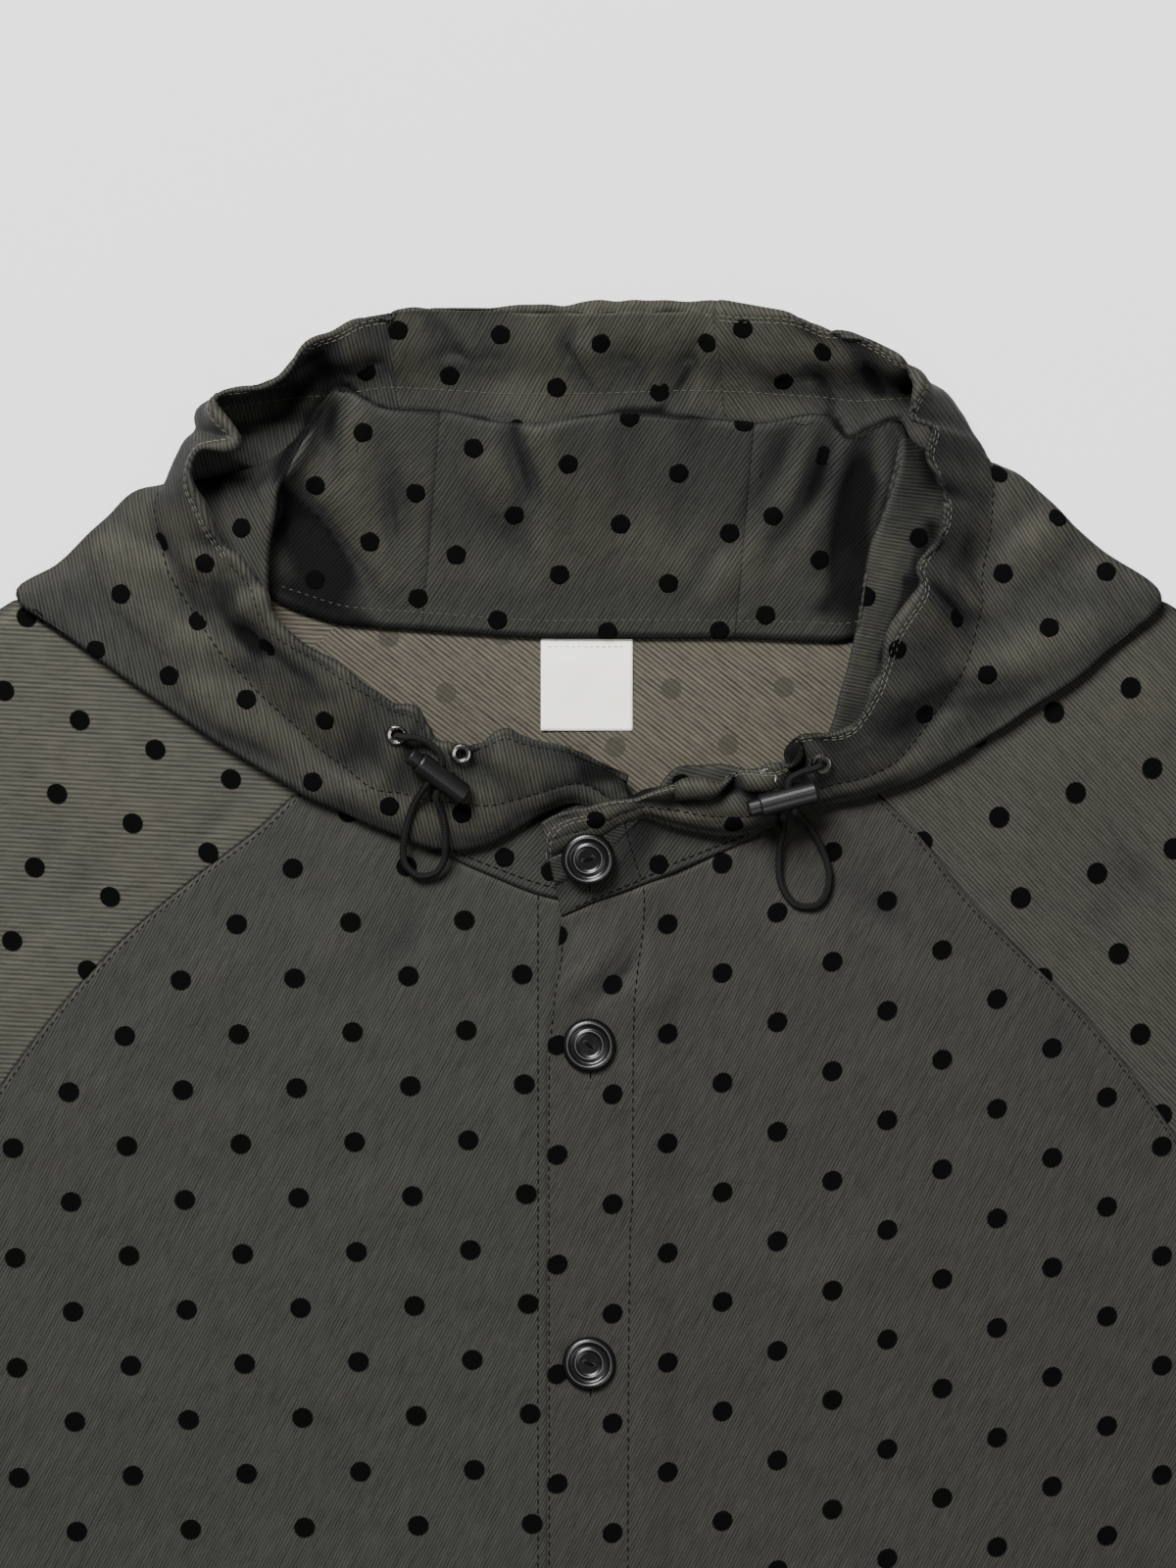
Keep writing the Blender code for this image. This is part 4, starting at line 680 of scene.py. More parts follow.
# gathers at the right lock: place in pixels, width and height in millimetres
hoodLumps = [(781, 792, 4.6, 3.4), (768, 800, 3.4, 1.6)]
hoodPaintedShading = {  # painted shade in hollows, or painted light on lighter stretches, by the first and last stop that they show on
    (5.2, 9.7): [
        (545, 440, 520, 424, 3, -0.45), (560, 800, 625, 790, 5, -0.5), (805, 755, 818, 792, 2.6, -0.4),
        (742, 790, 775, 806, 2.6, -0.35), (790, 345, 860, 372, 6, 0.42), (770, 420, 850, 412, 5, 0.3),
        (640, 842, 740, 830, 4, 0.5), (300, 770, 420, 815, 10, 0.16), (790, 346, 900, 384, 5, 0.35),
        (826, 381, 852, 406, 3, -0.3), (776, 398, 846, 412, 3, -0.28), (866, 366, 898, 404, 2.8, -0.35),
        (592, 332, 580, 354, 2.4, -0.22), (580, 354, 606, 404, 2.4, -0.24),
        (712, 366, 668, 424, 2.4, -0.26), (171, 548, 197, 612, 3.6, -0.18), (232, 618, 262, 668, 5, -0.2),
        (945, 602, 1004, 640, 3.4, -0.2), (915, 745, 1040, 700, 5, -0.16)],
    (0, 2.7): [
        (278, 520, 318, 590, 11, -0.4), (288, 512, 352, 580, 6.5, -0.3)],
    (2.7, 9): [
        (262, 502, 345, 408, 3.2, -0.3), (250, 440, 330, 418, 3, -0.35)],
    (0, 2.5): [
        (894, 500, 886, 640, 8, -0.52), (872, 500, 868, 600, 12, -0.18)],
    (2.2, 8): [
        (946, 466, 950, 490, 5.5, -0.5), (948, 540, 930, 590, 4.5, -0.55), (930, 600, 905, 660, 4.5, -0.5),
        (898, 670, 888, 712, 3.2, -0.5)],
    (2.2, 8.6): [
        (214, 415, 240, 452, 5.5, -0.4), (205, 470, 222, 500, 5.5, -0.45)],
    (2.7, 9.7): [
        (300, 405, 345, 400, 4, -0.3), (880, 425, 850, 418, 4.5, -0.35)],
    (0, 1): [
        (840, 620, 760, 632, 3.5, -0.2)],
    (0, 1.2): [
        (372, 636, 285, 598, 4.5, -0.3)],
    (0, 2.4): [
        (528, 436, 541, 510, 3, -0.16), (343, 420, 342, 490, 4, -0.2), (396, 490, 410, 570, 2.6, -0.16),
        (850, 455, 800, 545, 4, -0.16)],
    (2.4, 4.5): [
        (905, 560, 880, 700, 6, 0.35)]}
edgeLine = (  # the free edge as the photograph shows it, from the left front end, in pixels
    [(529, 755), (517, 749), (494, 761), (441, 759), (439, 747), (427, 727), (402, 723), (335, 677),
     (321, 669), (289, 648), (272, 626), (268, 607), (257, 591), (241, 573), (219, 544), (207, 517),
     (195, 490), (201, 467), (243, 457), (243, 448), (220, 418), (225, 409), (249, 403), (270, 403),
     (294, 388), (312, 359), (342, 347), (372, 329), (402, 328)],
    [(746, 323), (805, 326), (840, 342), (885, 355), (933, 388), (930, 417), (925, 428), (947, 438),
     (945, 473), (962, 507), (953, 560), (934, 585), (939, 605), (908, 653), (899, 689), (886, 717),
     (872, 742), (852, 751), (813, 754), (807, 780), (794, 785), (757, 785), (745, 790), (737, 808),
     (712, 801), (690, 803), (650, 815), (600, 825), (560, 838)])


def edgeOffsets(places):
    # how far the photograph's edge is from the table's, at each place
    fine = np.linspace(0, hoodSettings["lastPlace"], 2400)
    v = hoodValues(fine)
    crest = np.stack([v["crestX"], v["crestY"]], axis=1)
    at, off = [0.0], [(0.0, 0.0)]
    for run, (low, high) in zip(edgeLine, ((1.2, 22.6), (29.4, 52.2))):
        inside = (fine > low) & (fine < high)
        for pixel in run:
            gone = np.array(fromPixel(*pixel)) - crest[inside]
            far = np.hypot(gone[:, 0], gone[:, 1]) + 200 * np.maximum(0, at[-1] + 0.12 - fine[inside])
            best = int(np.argmin(far))
            if far[best] < hoodSettings["farthest"]:
                at.append(fine[inside][best])
                off.append(gone[best])
        at.append(high + 0.5)
        off.append((0.0, 0.0))
    at, off = np.array(at), np.array(off)
    found = np.stack([np.interp(places, at, off[:, k]) for k in (0, 1)], axis=1)
    for _ in range(2):
        found[1:-1] = 0.25 * found[:-2] + 0.5 * found[1:-1] + 0.25 * found[2:]
    return found


def turnedCloth(x, y, angle):
    turn = math.radians(angle)
    return np.stack([x * math.cos(turn) + y * math.sin(turn), -x * math.sin(turn) + y * math.cos(turn)], -1)


def clothNormals(grid):
    return unit(np.cross(np.gradient(grid, axis=0), np.gradient(grid, axis=1)))


def hoodLay():
    # the places round the neck and the stops down the hood, close together at the seams
    fine = np.linspace(0, hoodSettings["lastPlace"], 2400)
    v = hoodValues(fine)
    speed = np.zeros(len(fine) - 1)
    for line in hoodLines[1:]:
        speed += np.hypot(np.diff(v[line + "X"]), np.diff(v[line + "Y"])) / 3.2
    far = np.r_[0, np.cumsum(speed)]
    places = np.interp(np.arange(0, far[-1], hoodSettings["step"]), far, fine)
    near = [g + d for g in cut["gusset"] for d in (-0.12, -0.07, -0.035, -0.0005, 0.0005, 0.035, 0.07, 0.12)]
    places = places[[min(abs(p - g) for g in cut["gusset"]) > 0.14 for p in places]]
    places = np.array(sorted([0.0, hoodSettings["lastPlace"], *places[1:], *near]))
    stops = np.linspace(0, hoodSettings["lastStop"], hoodSettings["stops"])
    stops = stops[np.min(np.abs(stops[:, None] - sectionStops), axis=1) > 0.045]
    return places, np.sort(np.r_[stops, sectionStops])


def hoodForm(places, stops):
    # the solids' form, its free edge drawn to the photograph's
    grid = np.stack([hermite(sectionStops, section, stops) for section in hoodSections(places)], axis=0)
    offsets = edgeOffsets(places)
    grid[..., :2] += offsets[:, None] * ramp(stops, 7.3, 9.0)[None, :, None] * hoodSettings["edge"]
    last = int(np.searchsorted(stops, 8.6))
    for i in np.flatnonzero(places > 49.7):  # the front end has no roll, so its layers lie in one slope
        share = lengths(grid[i, :last + 1])
        share = (share / share[-1])[:, None]
        level = grid[i, :1] * (1 - share) + grid[i, last:last + 1] * share
        calm = ramp(places[i], 49.7, 51.6)
        grid[i, :last + 1] = grid[i, :last + 1] * (1 - calm) + level * calm
    return grid, offsets


def hoodPush(grid, up, offsets, p, s):
    # how far each spot leaves the solids' form: creases, gathers, seams and swell
    x, y = grid[..., 0], grid[..., 1]
    far = np.repeat(lengths(grid[:, np.argmax(s[0] >= 9.0)])[:, None], s.shape[1], axis=1)
    top, back = ramp(s, 5.4, 6.0), stretch(p, *hoodZones["back"])
    crease, gather = hoodSettings["crease"], hoodSettings["gather"]
    push = crease * creased(x, y, innerCreases) * up * (1 - ramp(s, 2.0, 2.8)) * ramp(s, 0.0, 0.35)
    push += crease * creased(x, y, bandCreases) * up * top * back
    push += crease * creased(x, y, flapCreases) * up * top * (1 - back)
    flatEnd = ramp(p, 44, 47) * ramp(34 - x, 0, 14) * ramp(229 - y, 0, 9)  # under the first button
    phase = far / hoodSettings["gatherStep"] * 2 * math.pi + 2.2 * waves(far, s * 9, 60, seed=4)
    tight = 1 + 0.9 * bell(p - 4.5, 2.2) + 0.9 * bell(p - 48.5, 2.2)  # at the two locks
    uneven = 0.35 + 0.65 * (0.5 + 0.5 * waves(far, s * 20, 90, seed=9))
    push += gather * uneven * tight * np.sin(phase) * ramp(s, 5.6, 8.4) * (1 - 0.93 * flatEnd)
    push += gather * 0.35 * np.sin(phase * 1.9 + 1.0) * ramp(s, 7.0, 9.0) * tight * (1 - flatEnd)
    pulled = np.abs(offsets).max(axis=1)[:, None] * ramp(s, 6.2, 8.6)
    push += hoodSettings["shear"] * pulled * np.sign(offsets[:, :1] + 1e-6) * (1 - flatEnd)
    for px, py, wide, high in hoodLumps:
        spot = fromPixel(px, py)
        push += high * up * top * bell(np.hypot(x - spot[0], y - spot[1]), wide)
    free = ramp(s, 0.2, 1.2)
    push += hoodSettings["swell"] * waves(x, y, 55, seed=2) * free + 0.35 * waves(x, y, 24, seed=3) * free
    for place in cut["gusset"]:
        push -= hoodSettings["seamDepth"] * bell((p - place) * 19.0, 1.1) * up
    push -= 0.5 * bell((s - 7.2) * 18.0, 1.6)  # the seam of the drawstring's channel
    loft = stretch(s, *hoodZones["sideLoft"]) * (1 - back) + stretch(s, *hoodZones["backLoft"]) * back
    push += hoodSettings["loft"] * up * loft
    return push * (1 - 0.8 * stretch(s, *hoodZones["hidden"]))


def withinRoom(grid, normals, push):
    # no layer moves more than part of the way to its neighbour
    tree = treeOf(grid, gridFaces(*grid.shape[:2]))
    kept = push.copy().ravel()
    for i, (spot, way, much) in enumerate(zip(grid.reshape(-1, 3), normals.reshape(-1, 3), push.ravel())):
        way = Vector(way) * (1 if much > 0 else -1)
        hit, _, _, far = tree.ray_cast(Vector(spot) + way * 0.8, way, 9.0)
        if hit is not None:
            room = max(0.05, (far + 0.8 - cut["hoodWall"]) * hoodSettings["room"])
            kept[i] = max(-room, min(room, much))
    kept = kept.reshape(push.shape)
    for _ in range(3):
        kept[1:-1] = 0.25 * kept[:-2] + 0.5 * kept[1:-1] + 0.25 * kept[2:]
        kept[:, 1:-1] = 0.25 * kept[:, :-2] + 0.5 * kept[:, 1:-1] + 0.25 * kept[:, 2:]
    return kept


def hoodShade(grid, up, push, p, s):
    # painted shade: 0.5 on level cloth, less in hollows, at the back neck and beside the back ridge, more as
    # painted sheen on raised folds and the back band
    x, y = grid[..., 0], grid[..., 1]
    back = stretch(p, *hoodZones["back"])
    shade = push * up / hoodSettings["shade"] - 0.3 * bell(s * 19.0, 1.4) * back
    for (low, high), rows in hoodPaintedShading.items():
        for x1, y1, x2, y2, width, depth in rows:
            start, end = np.array(fromPixel(x1, y1)), np.array(fromPixel(x2, y2))
            way = end - start
            part = np.clip(((x - start[0]) * way[0] + (y - start[1]) * way[1]) / (way @ way), 0, 1)
            away = np.hypot(x - start[0] - part * way[0], y - start[1] - part * way[1])
            shade += depth * bell(away, width) * (s >= low) * (s <= high)
    # a painted shadow beside the back ridge, which also dims the ridge's own lit top
    ridge = grid[(p[:, 0] > 12) & (p[:, 0] < 38)][:, (s[0] > 1.9) & (s[0] < 2.9)]
    apex = np.array([row[int(np.argmax(row[:, 1]))] for row in ridge])
    near = np.min(np.hypot(x[..., None] - apex[:, 0], y[..., None] - apex[:, 1]), axis=-1)
    beside = 0.62 * bell(near, 2.8) * ramp(s, 2.5, 2.9) + 0.4 * bell(near, 2.0) * ramp(s, 1.9, 2.2)
    return 0.5 + shade - beside * stretch(p, *hoodZones["ridge"]) + 0.2 * ramp(s, 5.4, 6.0) * back


def hoodGrid():
    # the whole hood as places x stops x 3, and its painted shade
    places, stops = hoodLay()
    grid, offsets = hoodForm(places, stops)
    normals = clothNormals(grid)
    if normals[..., 2].mean() < 0:
        normals = -normals
    up = np.sign(normals[..., 2])
    p, s = np.meshgrid(places, stops, indexing="ij")
    push = withinRoom(grid, normals, hoodPush(grid, up, offsets, p, s))
    moved = grid + normals * push[..., None]
    lowest = hoodSettings["lowest"] - 0.6 * ramp(s, 5.2, 6.0)
    moved[..., 2] = np.maximum(moved[..., 2], np.minimum(grid[..., 2], lowest))
    return places, stops, moved, hoodShade(grid, up, push, p, s)


print("stage: hood")
hoodPlaces, hoodStops, hood, hoodFoldShade = hoodGrid()
hoodNormals = clothNormals(hood)
hoodUp = hoodNormals * np.sign(hoodNormals[..., 2:3])


def onHood(places, stops, lift):
    # points of the hood's face at places and stops, lifted along its normal
    i = np.clip(np.searchsorted(hoodPlaces, places, side="right") - 1, 0, len(hoodPlaces) - 2)
    j = np.clip(np.searchsorted(hoodStops, stops, side="right") - 1, 0, len(hoodStops) - 2)
    a = ((places - hoodPlaces[i]) / (hoodPlaces[i + 1] - hoodPlaces[i]))[:, None]
    b = ((stops - hoodStops[j]) / (hoodStops[j + 1] - hoodStops[j]))[:, None]

    def pick(grid):
        first = (1 - b) * grid[i, j] + b * grid[i, j + 1]
        second = (1 - b) * grid[i + 1, j] + b * grid[i + 1, j + 1]
        return (1 - a) * first + a * second
    return pick(hood) + unit(pick(hoodUp)) * lift


hoodThick = cut["hoodWall"] - hoodSettings["lining"]
hoodEnds = (0.0, *cut["gusset"], hoodSettings["lastPlace"])
hoodGrain = {  # the way of the twill on the inner panel, in the fold and on the outer layer, in degrees
    "hood_side_left": (50, -62, -78), "hood_centre": (58, 60, 62), "hood_side_right": (54, -14, -56)}
grainStops = (2.55, 5.15)
for (name, angles), first, last in zip(hoodGrain.items(), hoodEnds[:-1], hoodEnds[1:]):
    chosen = (hoodPlaces >= first) & (hoodPlaces <= last)
    grid = hood[chosen]
    ways = np.stack([turnedCloth(grid[..., 0], grid[..., 1] + 0.3 * grid[..., 2], angle) for angle in angles])
    nodes = [name, "hood_tucked_folds"] if name == "hood_centre" else [name]
    piece = addMesh(f"cloth_{name}", grid, gridFaces(*grid.shape[:2]), "hoodTwill", ways[0],
                    fold=hoodFoldShade[chosen], wall=hoodThick, nodes=nodes)
    corners = np.arange(len(piece.data.loops))
    zone = np.digitize(hoodStops[(corners // 4) % (grid.shape[1] - 1)], grainStops)
    vertices = np.zeros(len(corners), np.int32)
    piece.data.loops.foreach_get("vertex_index", vertices)
    cornerWays = ways.reshape(len(angles), -1, 2)[zone, vertices] * mm
    piece.data.uv_layers["cloth"].data.foreach_set("uv", cornerWays.astype(np.float32).ravel())
    laid(piece, grid, "folded")


bodySettings = {"step": 3.6, "fineDown": 250.0, "swell": 0.5, "groove": 0.7, "shade": 5.0}
bodyCreases = [  # drag folds of the right front at the placket and under the flap
    (632, 950, 575, 1030, 5, 1.2), (650, 960, 612, 1020, 4, -1.2), (700, 985, 650, 1035, 6, 0.9),
    (590, 940, 572, 985, 4, -0.8), (640, 930, 690, 960, 6, -0.7), (760, 900, 900, 1000, 12, 0.8),
    (820, 880, 960, 960, 10, -0.7), (380, 900, 300, 1010, 12, 0.8), (430, 900, 380, 1000, 9, -0.6),
    (250, 960, 120, 1100, 14, 0.7), (540, 1060, 536, 1300, 7, 0.5), (1040, 1010, 1150, 1160, 12, -0.7),
    (660, 1100, 760, 1090, 8, 0.4), (300, 1240, 480, 1200, 14, 0.5), (760, 1300, 1000, 1240, 16, 0.5)]


def seamPoints(first, last):
    # the neck edge of a panel
    at = np.linspace(first, last, max(3, int(abs(last - first) * 10)))
    v = hoodValues(at)
    seam = np.stack([v["seamX"], v["seamY"]], axis=1)
    return seam + unit(seam - np.stack([v["innerX"], v["innerY"]], axis=1)) * cut["seamGap"]


def lattice(x, y, origin, first, second):
    # coordinates in which the dots are at the whole numbers; origin and steps in pixels of the photograph
    px, py = toPixel(x, y)
    px, py = px - origin[0], py - origin[1]
    det = first[0] * second[1] - first[1] * second[0]
    return np.stack([(px * second[1] - py * second[0]) / det, (py * first[0] - px * first[1]) / det], -1)


dotLattices = {"frontLeft": ((128, 1057), (59, 55), (-57, 57)),
               "frontRight": ((849, 981), (56, 50), (-56, 61.7)),
               "sleeveLeft": ((159, 765), (77, 30), (-23, 75)),
               "sleeveRight": ((1075, 727), (-78, 25), (22, 82)),
               "back": ((685, 703), (58, 57), (-57, 59))}


def panelGrid(xs, topLine, height, lean=None):
    # rows set down from the top edge, close together near it and at the hem
    offsets = np.r_[0, 0.5, 1.1, 1.9, 3.2, np.arange(5.5, bodySettings["fineDown"], bodySettings["step"])]
    high = np.interp(xs, topLine[:, 0], topLine[:, 1])
    y = high[None] - offsets[:, None]
    share = np.r_[np.linspace(0, 1, 62)[1:-3], 0.975, 0.985, 0.992, 0.9965, 1.0][:, None]
    y = np.r_[y, y[-1:] + share * (cut["hemY"] - y[-1:])]
    x = np.repeat(xs[None], len(y), axis=0)
    down = high[None] - y
    if lean is not None:  # the front edge leans from the neck to its place
        x = x + (lean - xs[0]) * np.clip(down / 55, 0, 1) * np.clip((14 - x) / 24, 0, 1)
    z = height(x, y) - bodySettings["groove"] * bell(down, 1.3)
    swell = waves(x, y, 90, seed=11) * 0.6 + waves(x, y, 38, seed=12) * 0.4
    return np.stack([x, y, z + bodySettings["swell"] * ramp(down, 2, 30) * swell], axis=-1)


def topLineOf(*lines):
    points = np.vstack(lines)
    points = points[np.argsort(points[:, 0])]
    return points[np.r_[True, np.diff(points[:, 0]) > 0.05]]


def columns(first, last, *extra):
    inside = np.linspace(first, last, int(abs(last - first) / bodySettings["step"]) + 2)
    return np.array(sorted({*np.round(inside, 3), *[e for e in extra if first < e < last]}))


def sideDrop(x):
    return 0.5 * np.clip((np.abs(x) - cut["sideX"] + 8) / 8, 0, 1)


def frontHeight(x, y):
    flat = ramp(cut["sideX"] - np.abs(x), 0, 10)
    return cut["frontZ"] - sideDrop(x) + np.clip(creased(x, y, bodyCreases), -0.8, 1.4) * flat


def placketHeight(x, y):
    share = ramp(-x, -cut["ramp"][1], -cut["ramp"][0])
    lip = 0.5 * bell(x - cut["rightEdge"], 0.9) * ramp(200 - y, 5, 50)
    return frontHeight(x, y) + (cut["placketZ"] - cut["frontZ"]) * share - lip


def backHeight(x, y):
    return cut["backZ"] + 0 * x


def bodyPiece(name, grid, surface, angle, dots, raised, wall=cut["bodyWall"], closed=False, flip=True):
    # a panel of twill with its grain, its dots and its shading from how far it is raised
    x, y = grid[..., 0], grid[..., 1]
    piece = addMesh(f"cloth_{name}", grid, gridFaces(*grid.shape[:2], closed=closed, flip=flip), surface,
                    turnedCloth(x, y, angle), lattice(x, y, *dotLattices[dots]),
                    0.5 + raised / bodySettings["shade"], wall, [name])
    laid(piece, grid, "laid", closed)


print("stage: body")
raglanPoints = 140
neckBack = seamPoints(cut["backLeft"], cut["backRight"])
curves = {"backLeft": along(np.vstack([neckBack[:1], backRaglan]), raglanPoints),
          "backRight": along(np.vstack([neckBack[-1:], [(-x, y) for x, y in backRaglan]]), raglanPoints)}
neckLeft = seamPoints(0.0, cut["raglanLeft"])
neckRight = seamPoints(cut["raglanRight"], hoodSettings["lastPlace"])
curves["frontLeft"] = along(np.vstack([neckLeft[-1:], frontRaglanLeft]), raglanPoints)
curves["frontRight"] = along(np.vstack([neckRight[:1], frontRaglanRight]), raglanPoints)

neckBack = neckBack + (0, 2.6)  # its turning under the hood
topLine = topLineOf(neckBack, curves["backLeft"], curves["backRight"])
grid = panelGrid(columns(topLine[0, 0], topLine[-1, 0]), topLine, backHeight)
grid[..., 2] = cut["backZ"] + np.maximum(0, grid[..., 2] - cut["backZ"]) * 0.5
bodyPiece("back", grid, ("wrongSide", "frontLeft"), -38, "back", 0 * grid[..., 0])

topLine = topLineOf(neckLeft, curves["frontLeft"])
frontLeft = panelGrid(columns(topLine[0, 0], topLine[-1, 0], -305), topLine, frontHeight)
bodyPiece("front_left", frontLeft, "frontLeft", 62, "frontLeft", frontLeft[..., 2] - cut["frontZ"])

topLine = topLineOf(neckRight, curves["frontRight"])
placketColumns = columns(topLine[0, 0], topLine[-1, 0], -9.6, -8.8, -7.6, 22, 25, 28, 31, 34, 36, 305)
frontRight = panelGrid(placketColumns, topLine, placketHeight, lean=cut["rightEdge"])
x, y, z = np.moveaxis(frontRight, -1, 0)
bodyPiece("front_right", frontRight, "frontRight", 62, "frontRight",
          z - placketHeight(x, y) + creased(x, y, bodyCreases))


def coons(inner, outer, under, upper, shares, across):
    # fills the patch between four edges
    s, t = shares[:, None, None], across[None]
    corners = ((1 - s) * (1 - t) * inner[0] + (1 - s) * t * inner[-1]
               + s * (1 - t) * outer[0] + s * t * outer[-1])
    return (1 - s) * inner[None] + s * outer[None] + (1 - t) * under[:, None] + t * upper[:, None] - corners


sleeveSettings = {"rows": 150, "across": 64, "swell": 0.5, "length": 830.0, "shoulderGap": 1.1}
sleeveCreases = [(60, 690, 200, 900, 14, 0.7), (20, 800, 120, 960, 12, -0.6), (230, 800, 160, 900, 9, -0.5),
                 (1150, 700, 1010, 880, 14, 0.7), (1180, 850, 1100, 1010, 12, -0.6),
                 (980, 800, 1060, 930, 9, -0.5)]


def sleeveEnd(line, neckPart, side):
    # the raglan edge of one layer and its stretch of the neck
    away = unit(np.gradient(line, axis=0))
    away = np.stack([away[:, 1], -away[:, 0]], axis=1) * -side
    whole = np.vstack([(line + away * cut["seamGap"])[::-1], neckPart[1:]])
    steps = lengths(whole)
    corner = steps[len(line) - 1]
    first = int(sleeveSettings["across"] * 0.82)
    rest = sleeveSettings["across"] - first
    wanted = np.r_[np.linspace(0, corner, first), np.linspace(corner, steps[-1], rest + 1)[1:]]
    return np.stack([np.interp(wanted, steps, whole[:, k]) for k in (0, 1)], axis=1)


def sleeveGrid(side, frontLine, neckFront, neckBehind, backLine):
    # the two layers of a sleeve as one tube, from the raglan seam to the cuff
    flip = np.array([-side, 1.0])
    length = sleeveSettings["length"]
    shoulder = neckFront[-1] + (side * sleeveSettings["shoulderGap"], 0.0)
    neckFront[-1] = neckBehind[0] = shoulder
    near = np.r_[0, 0.5, 1.1, 2.0, 3.4] / length
    shares = np.r_[near, np.linspace(5.5 / length, 1, sleeveSettings["rows"] - len(near))]
    upper = along(np.vstack([shoulder, np.array(sleeveTop) * flip]), 900)
    under = along(np.array(sleeveUnder) * flip + np.array([side * 0.3, 0.1]), 900)
    upper, under = (np.stack([np.interp(shares, np.linspace(0, 1, 900), line[:, k]) for k in (0, 1)], 1)
                    for line in (upper, under))
    patches = []
    for line, neckPart in ((frontLine, neckFront), (backLine, neckBehind[::-1])):
        end = sleeveEnd(line, neckPart, side)
        end[0] = under[0]
        share = (lengths(end) / lengths(end)[-1])[:, None]
        cuff = share * (upper[-1] - under[-1]) + under[-1]
        patches.append(coons(end, cuff, under, upper, shares, share))
    front, behind = patches
    down = (shares * length)[:, None]
    half = (cut["frontZ"] - cut["backZ"]) / 2
    middle = cut["backZ"] + half
    across = lengths(front[40])
    wide = np.minimum(across[-1], 200)
    t = (across / across[-1])[None]
    rounded = 1
    for inward in (t, 1 - t):  # a half round at each of the two folds
        rounded = rounded * np.sqrt(np.clip(1 - (1 - np.clip(inward * wide / 4, 0, 1)) ** 2, 0, 1))
    swell = sleeveSettings["swell"] * ramp(down, 2, 40) * ramp(t, 0.0, 0.06) * ramp(1 - t, 0.0, 0.06)
    waved = waves(down, t * wide, 70, seed=21 + side) * 0.8 + waves(down, t * wide * 0.5, 33, seed=24) * 0.3
    creases = creased(front[..., 0], front[..., 1], sleeveCreases) * ramp(down, 5, 30)
    high = middle + half * rounded + swell * (waved + 0.9) + creases
    high = np.maximum(high - bodySettings["groove"] * bell(down, 1.3) * rounded, middle)
    low = np.broadcast_to(middle - half * rounded, high.shape)
    frontPoints = np.concatenate([front, high[..., None]], axis=-1)
    backPoints = np.concatenate([behind, low[..., None]], axis=-1)
    return np.concatenate([frontPoints, backPoints[:, ::-1]], axis=1)


print("stage: sleeves")
for side, name, angle in ((-1, "Left", -3), (1, "Right", -47)):
    front = seamPoints(cut["raglan" + name], cut["shoulder" + name])
    behind = seamPoints(cut["shoulder" + name], cut["back" + name])
    grid = sleeveGrid(side, curves["front" + name], front, behind, curves["back" + name])
    above = grid[..., 2] - cut["frontZ"]
    raised = np.where(above > -1.3, above - 0.4, 0)  # only the upper layer is shaded
    bodyPiece(f"sleeve_{name.lower()}", grid, ("sleeve" + name, "wrongSide"), angle, "sleeve" + name, raised,
              cut["bodyWall"] - 0.1, closed=True, flip=side > 0)

print("stage: label")
labelSettings = {"left": -18.0, "right": 17.0, "top": 296.6, "bottom": 260.8, "z": 1.48, "thick": 0.4}
u, v = np.meshgrid(np.linspace(0, 1, 30), np.linspace(0, 1, 30))
labelX = labelSettings["left"] + u * (labelSettings["right"] - labelSettings["left"])
labelY = labelSettings["bottom"] + v * (labelSettings["top"] - labelSettings["bottom"])
labelZ = labelSettings["z"] + 0.35 * (0.9 + waves(labelX, labelY, 30, seed=31)) * ramp(1 - v, 0.02, 0.3)
grid = np.stack([labelX, labelY, labelZ], -1)
piece = addMesh("cloth_label", grid, gridFaces(30, 30), "labelSatin", grid[..., :2],
                wall=labelSettings["thick"], nodes=["neck_label"])
laid(piece, grid, "laid")

print("stage: buttons")
buttonSettings = {"radius": 10.2, "sides": 72, "hole": 0.95, "apart": 1.9, "thread": 0.42, "half": 1.25,
                  "turn": 0.3, "ring": 0.2, "rings": ((0.82, 2.44), (0.52, 1.86))}
# two raised rims and a dished middle: shares of the radius, and heights
buttonProfile = [(0.0, 1.2), (0.36, 1.2), (0.44, 1.26), (0.48, 1.7), (0.52, 1.92), (0.56, 1.7), (0.59, 1.42),
                 (0.66, 1.36), (0.72, 1.7), (0.77, 2.3), (0.82, 2.5), (0.88, 2.36), (0.94, 1.9), (0.985, 1.2),
                 (1.0, 0.8), (0.98, 0.35), (0.9, 0.06), (0.6, 0.0), (0.0, 0.0)]


def axisOf(node):
    # the middle of a CAD node and its short axis, in millimetres
    spots = np.array([node.matrix_world @ v.co for v in node.data.vertices]) / mm
    middle = 0.5 * (spots.min(axis=0) + spots.max(axis=0))
    _, _, ways = np.linalg.svd(spots - spots.mean(axis=0))
    way = ways[2]
    return middle, way if way[2] > 0 else -way


def turnedMesh(name, profile, place, surface, sides, nodes=()):
    turn = np.linspace(0, 2 * math.pi, sides, endpoint=False)
    points = [(r * math.cos(a), r * math.sin(a), z) for r, z in profile[1:-1] for a in turn]
    points += [(0, 0, profile[0][1]), (0, 0, profile[-1][1])]
    rows = len(profile) - 2
    faces = gridFaces(rows, sides, closed=True, flip=True).tolist()
    last = len(points)
    faces += [(last - 2, k, (k + 1) % sides) for k in range(sides)]
    faces += [(last - 1, (rows - 1) * sides + (k + 1) % sides, (rows - 1) * sides + k) for k in range(sides)]
    return addMesh(name, [tuple(place @ Vector(p)) for p in points], faces, surface, nodes=nodes)


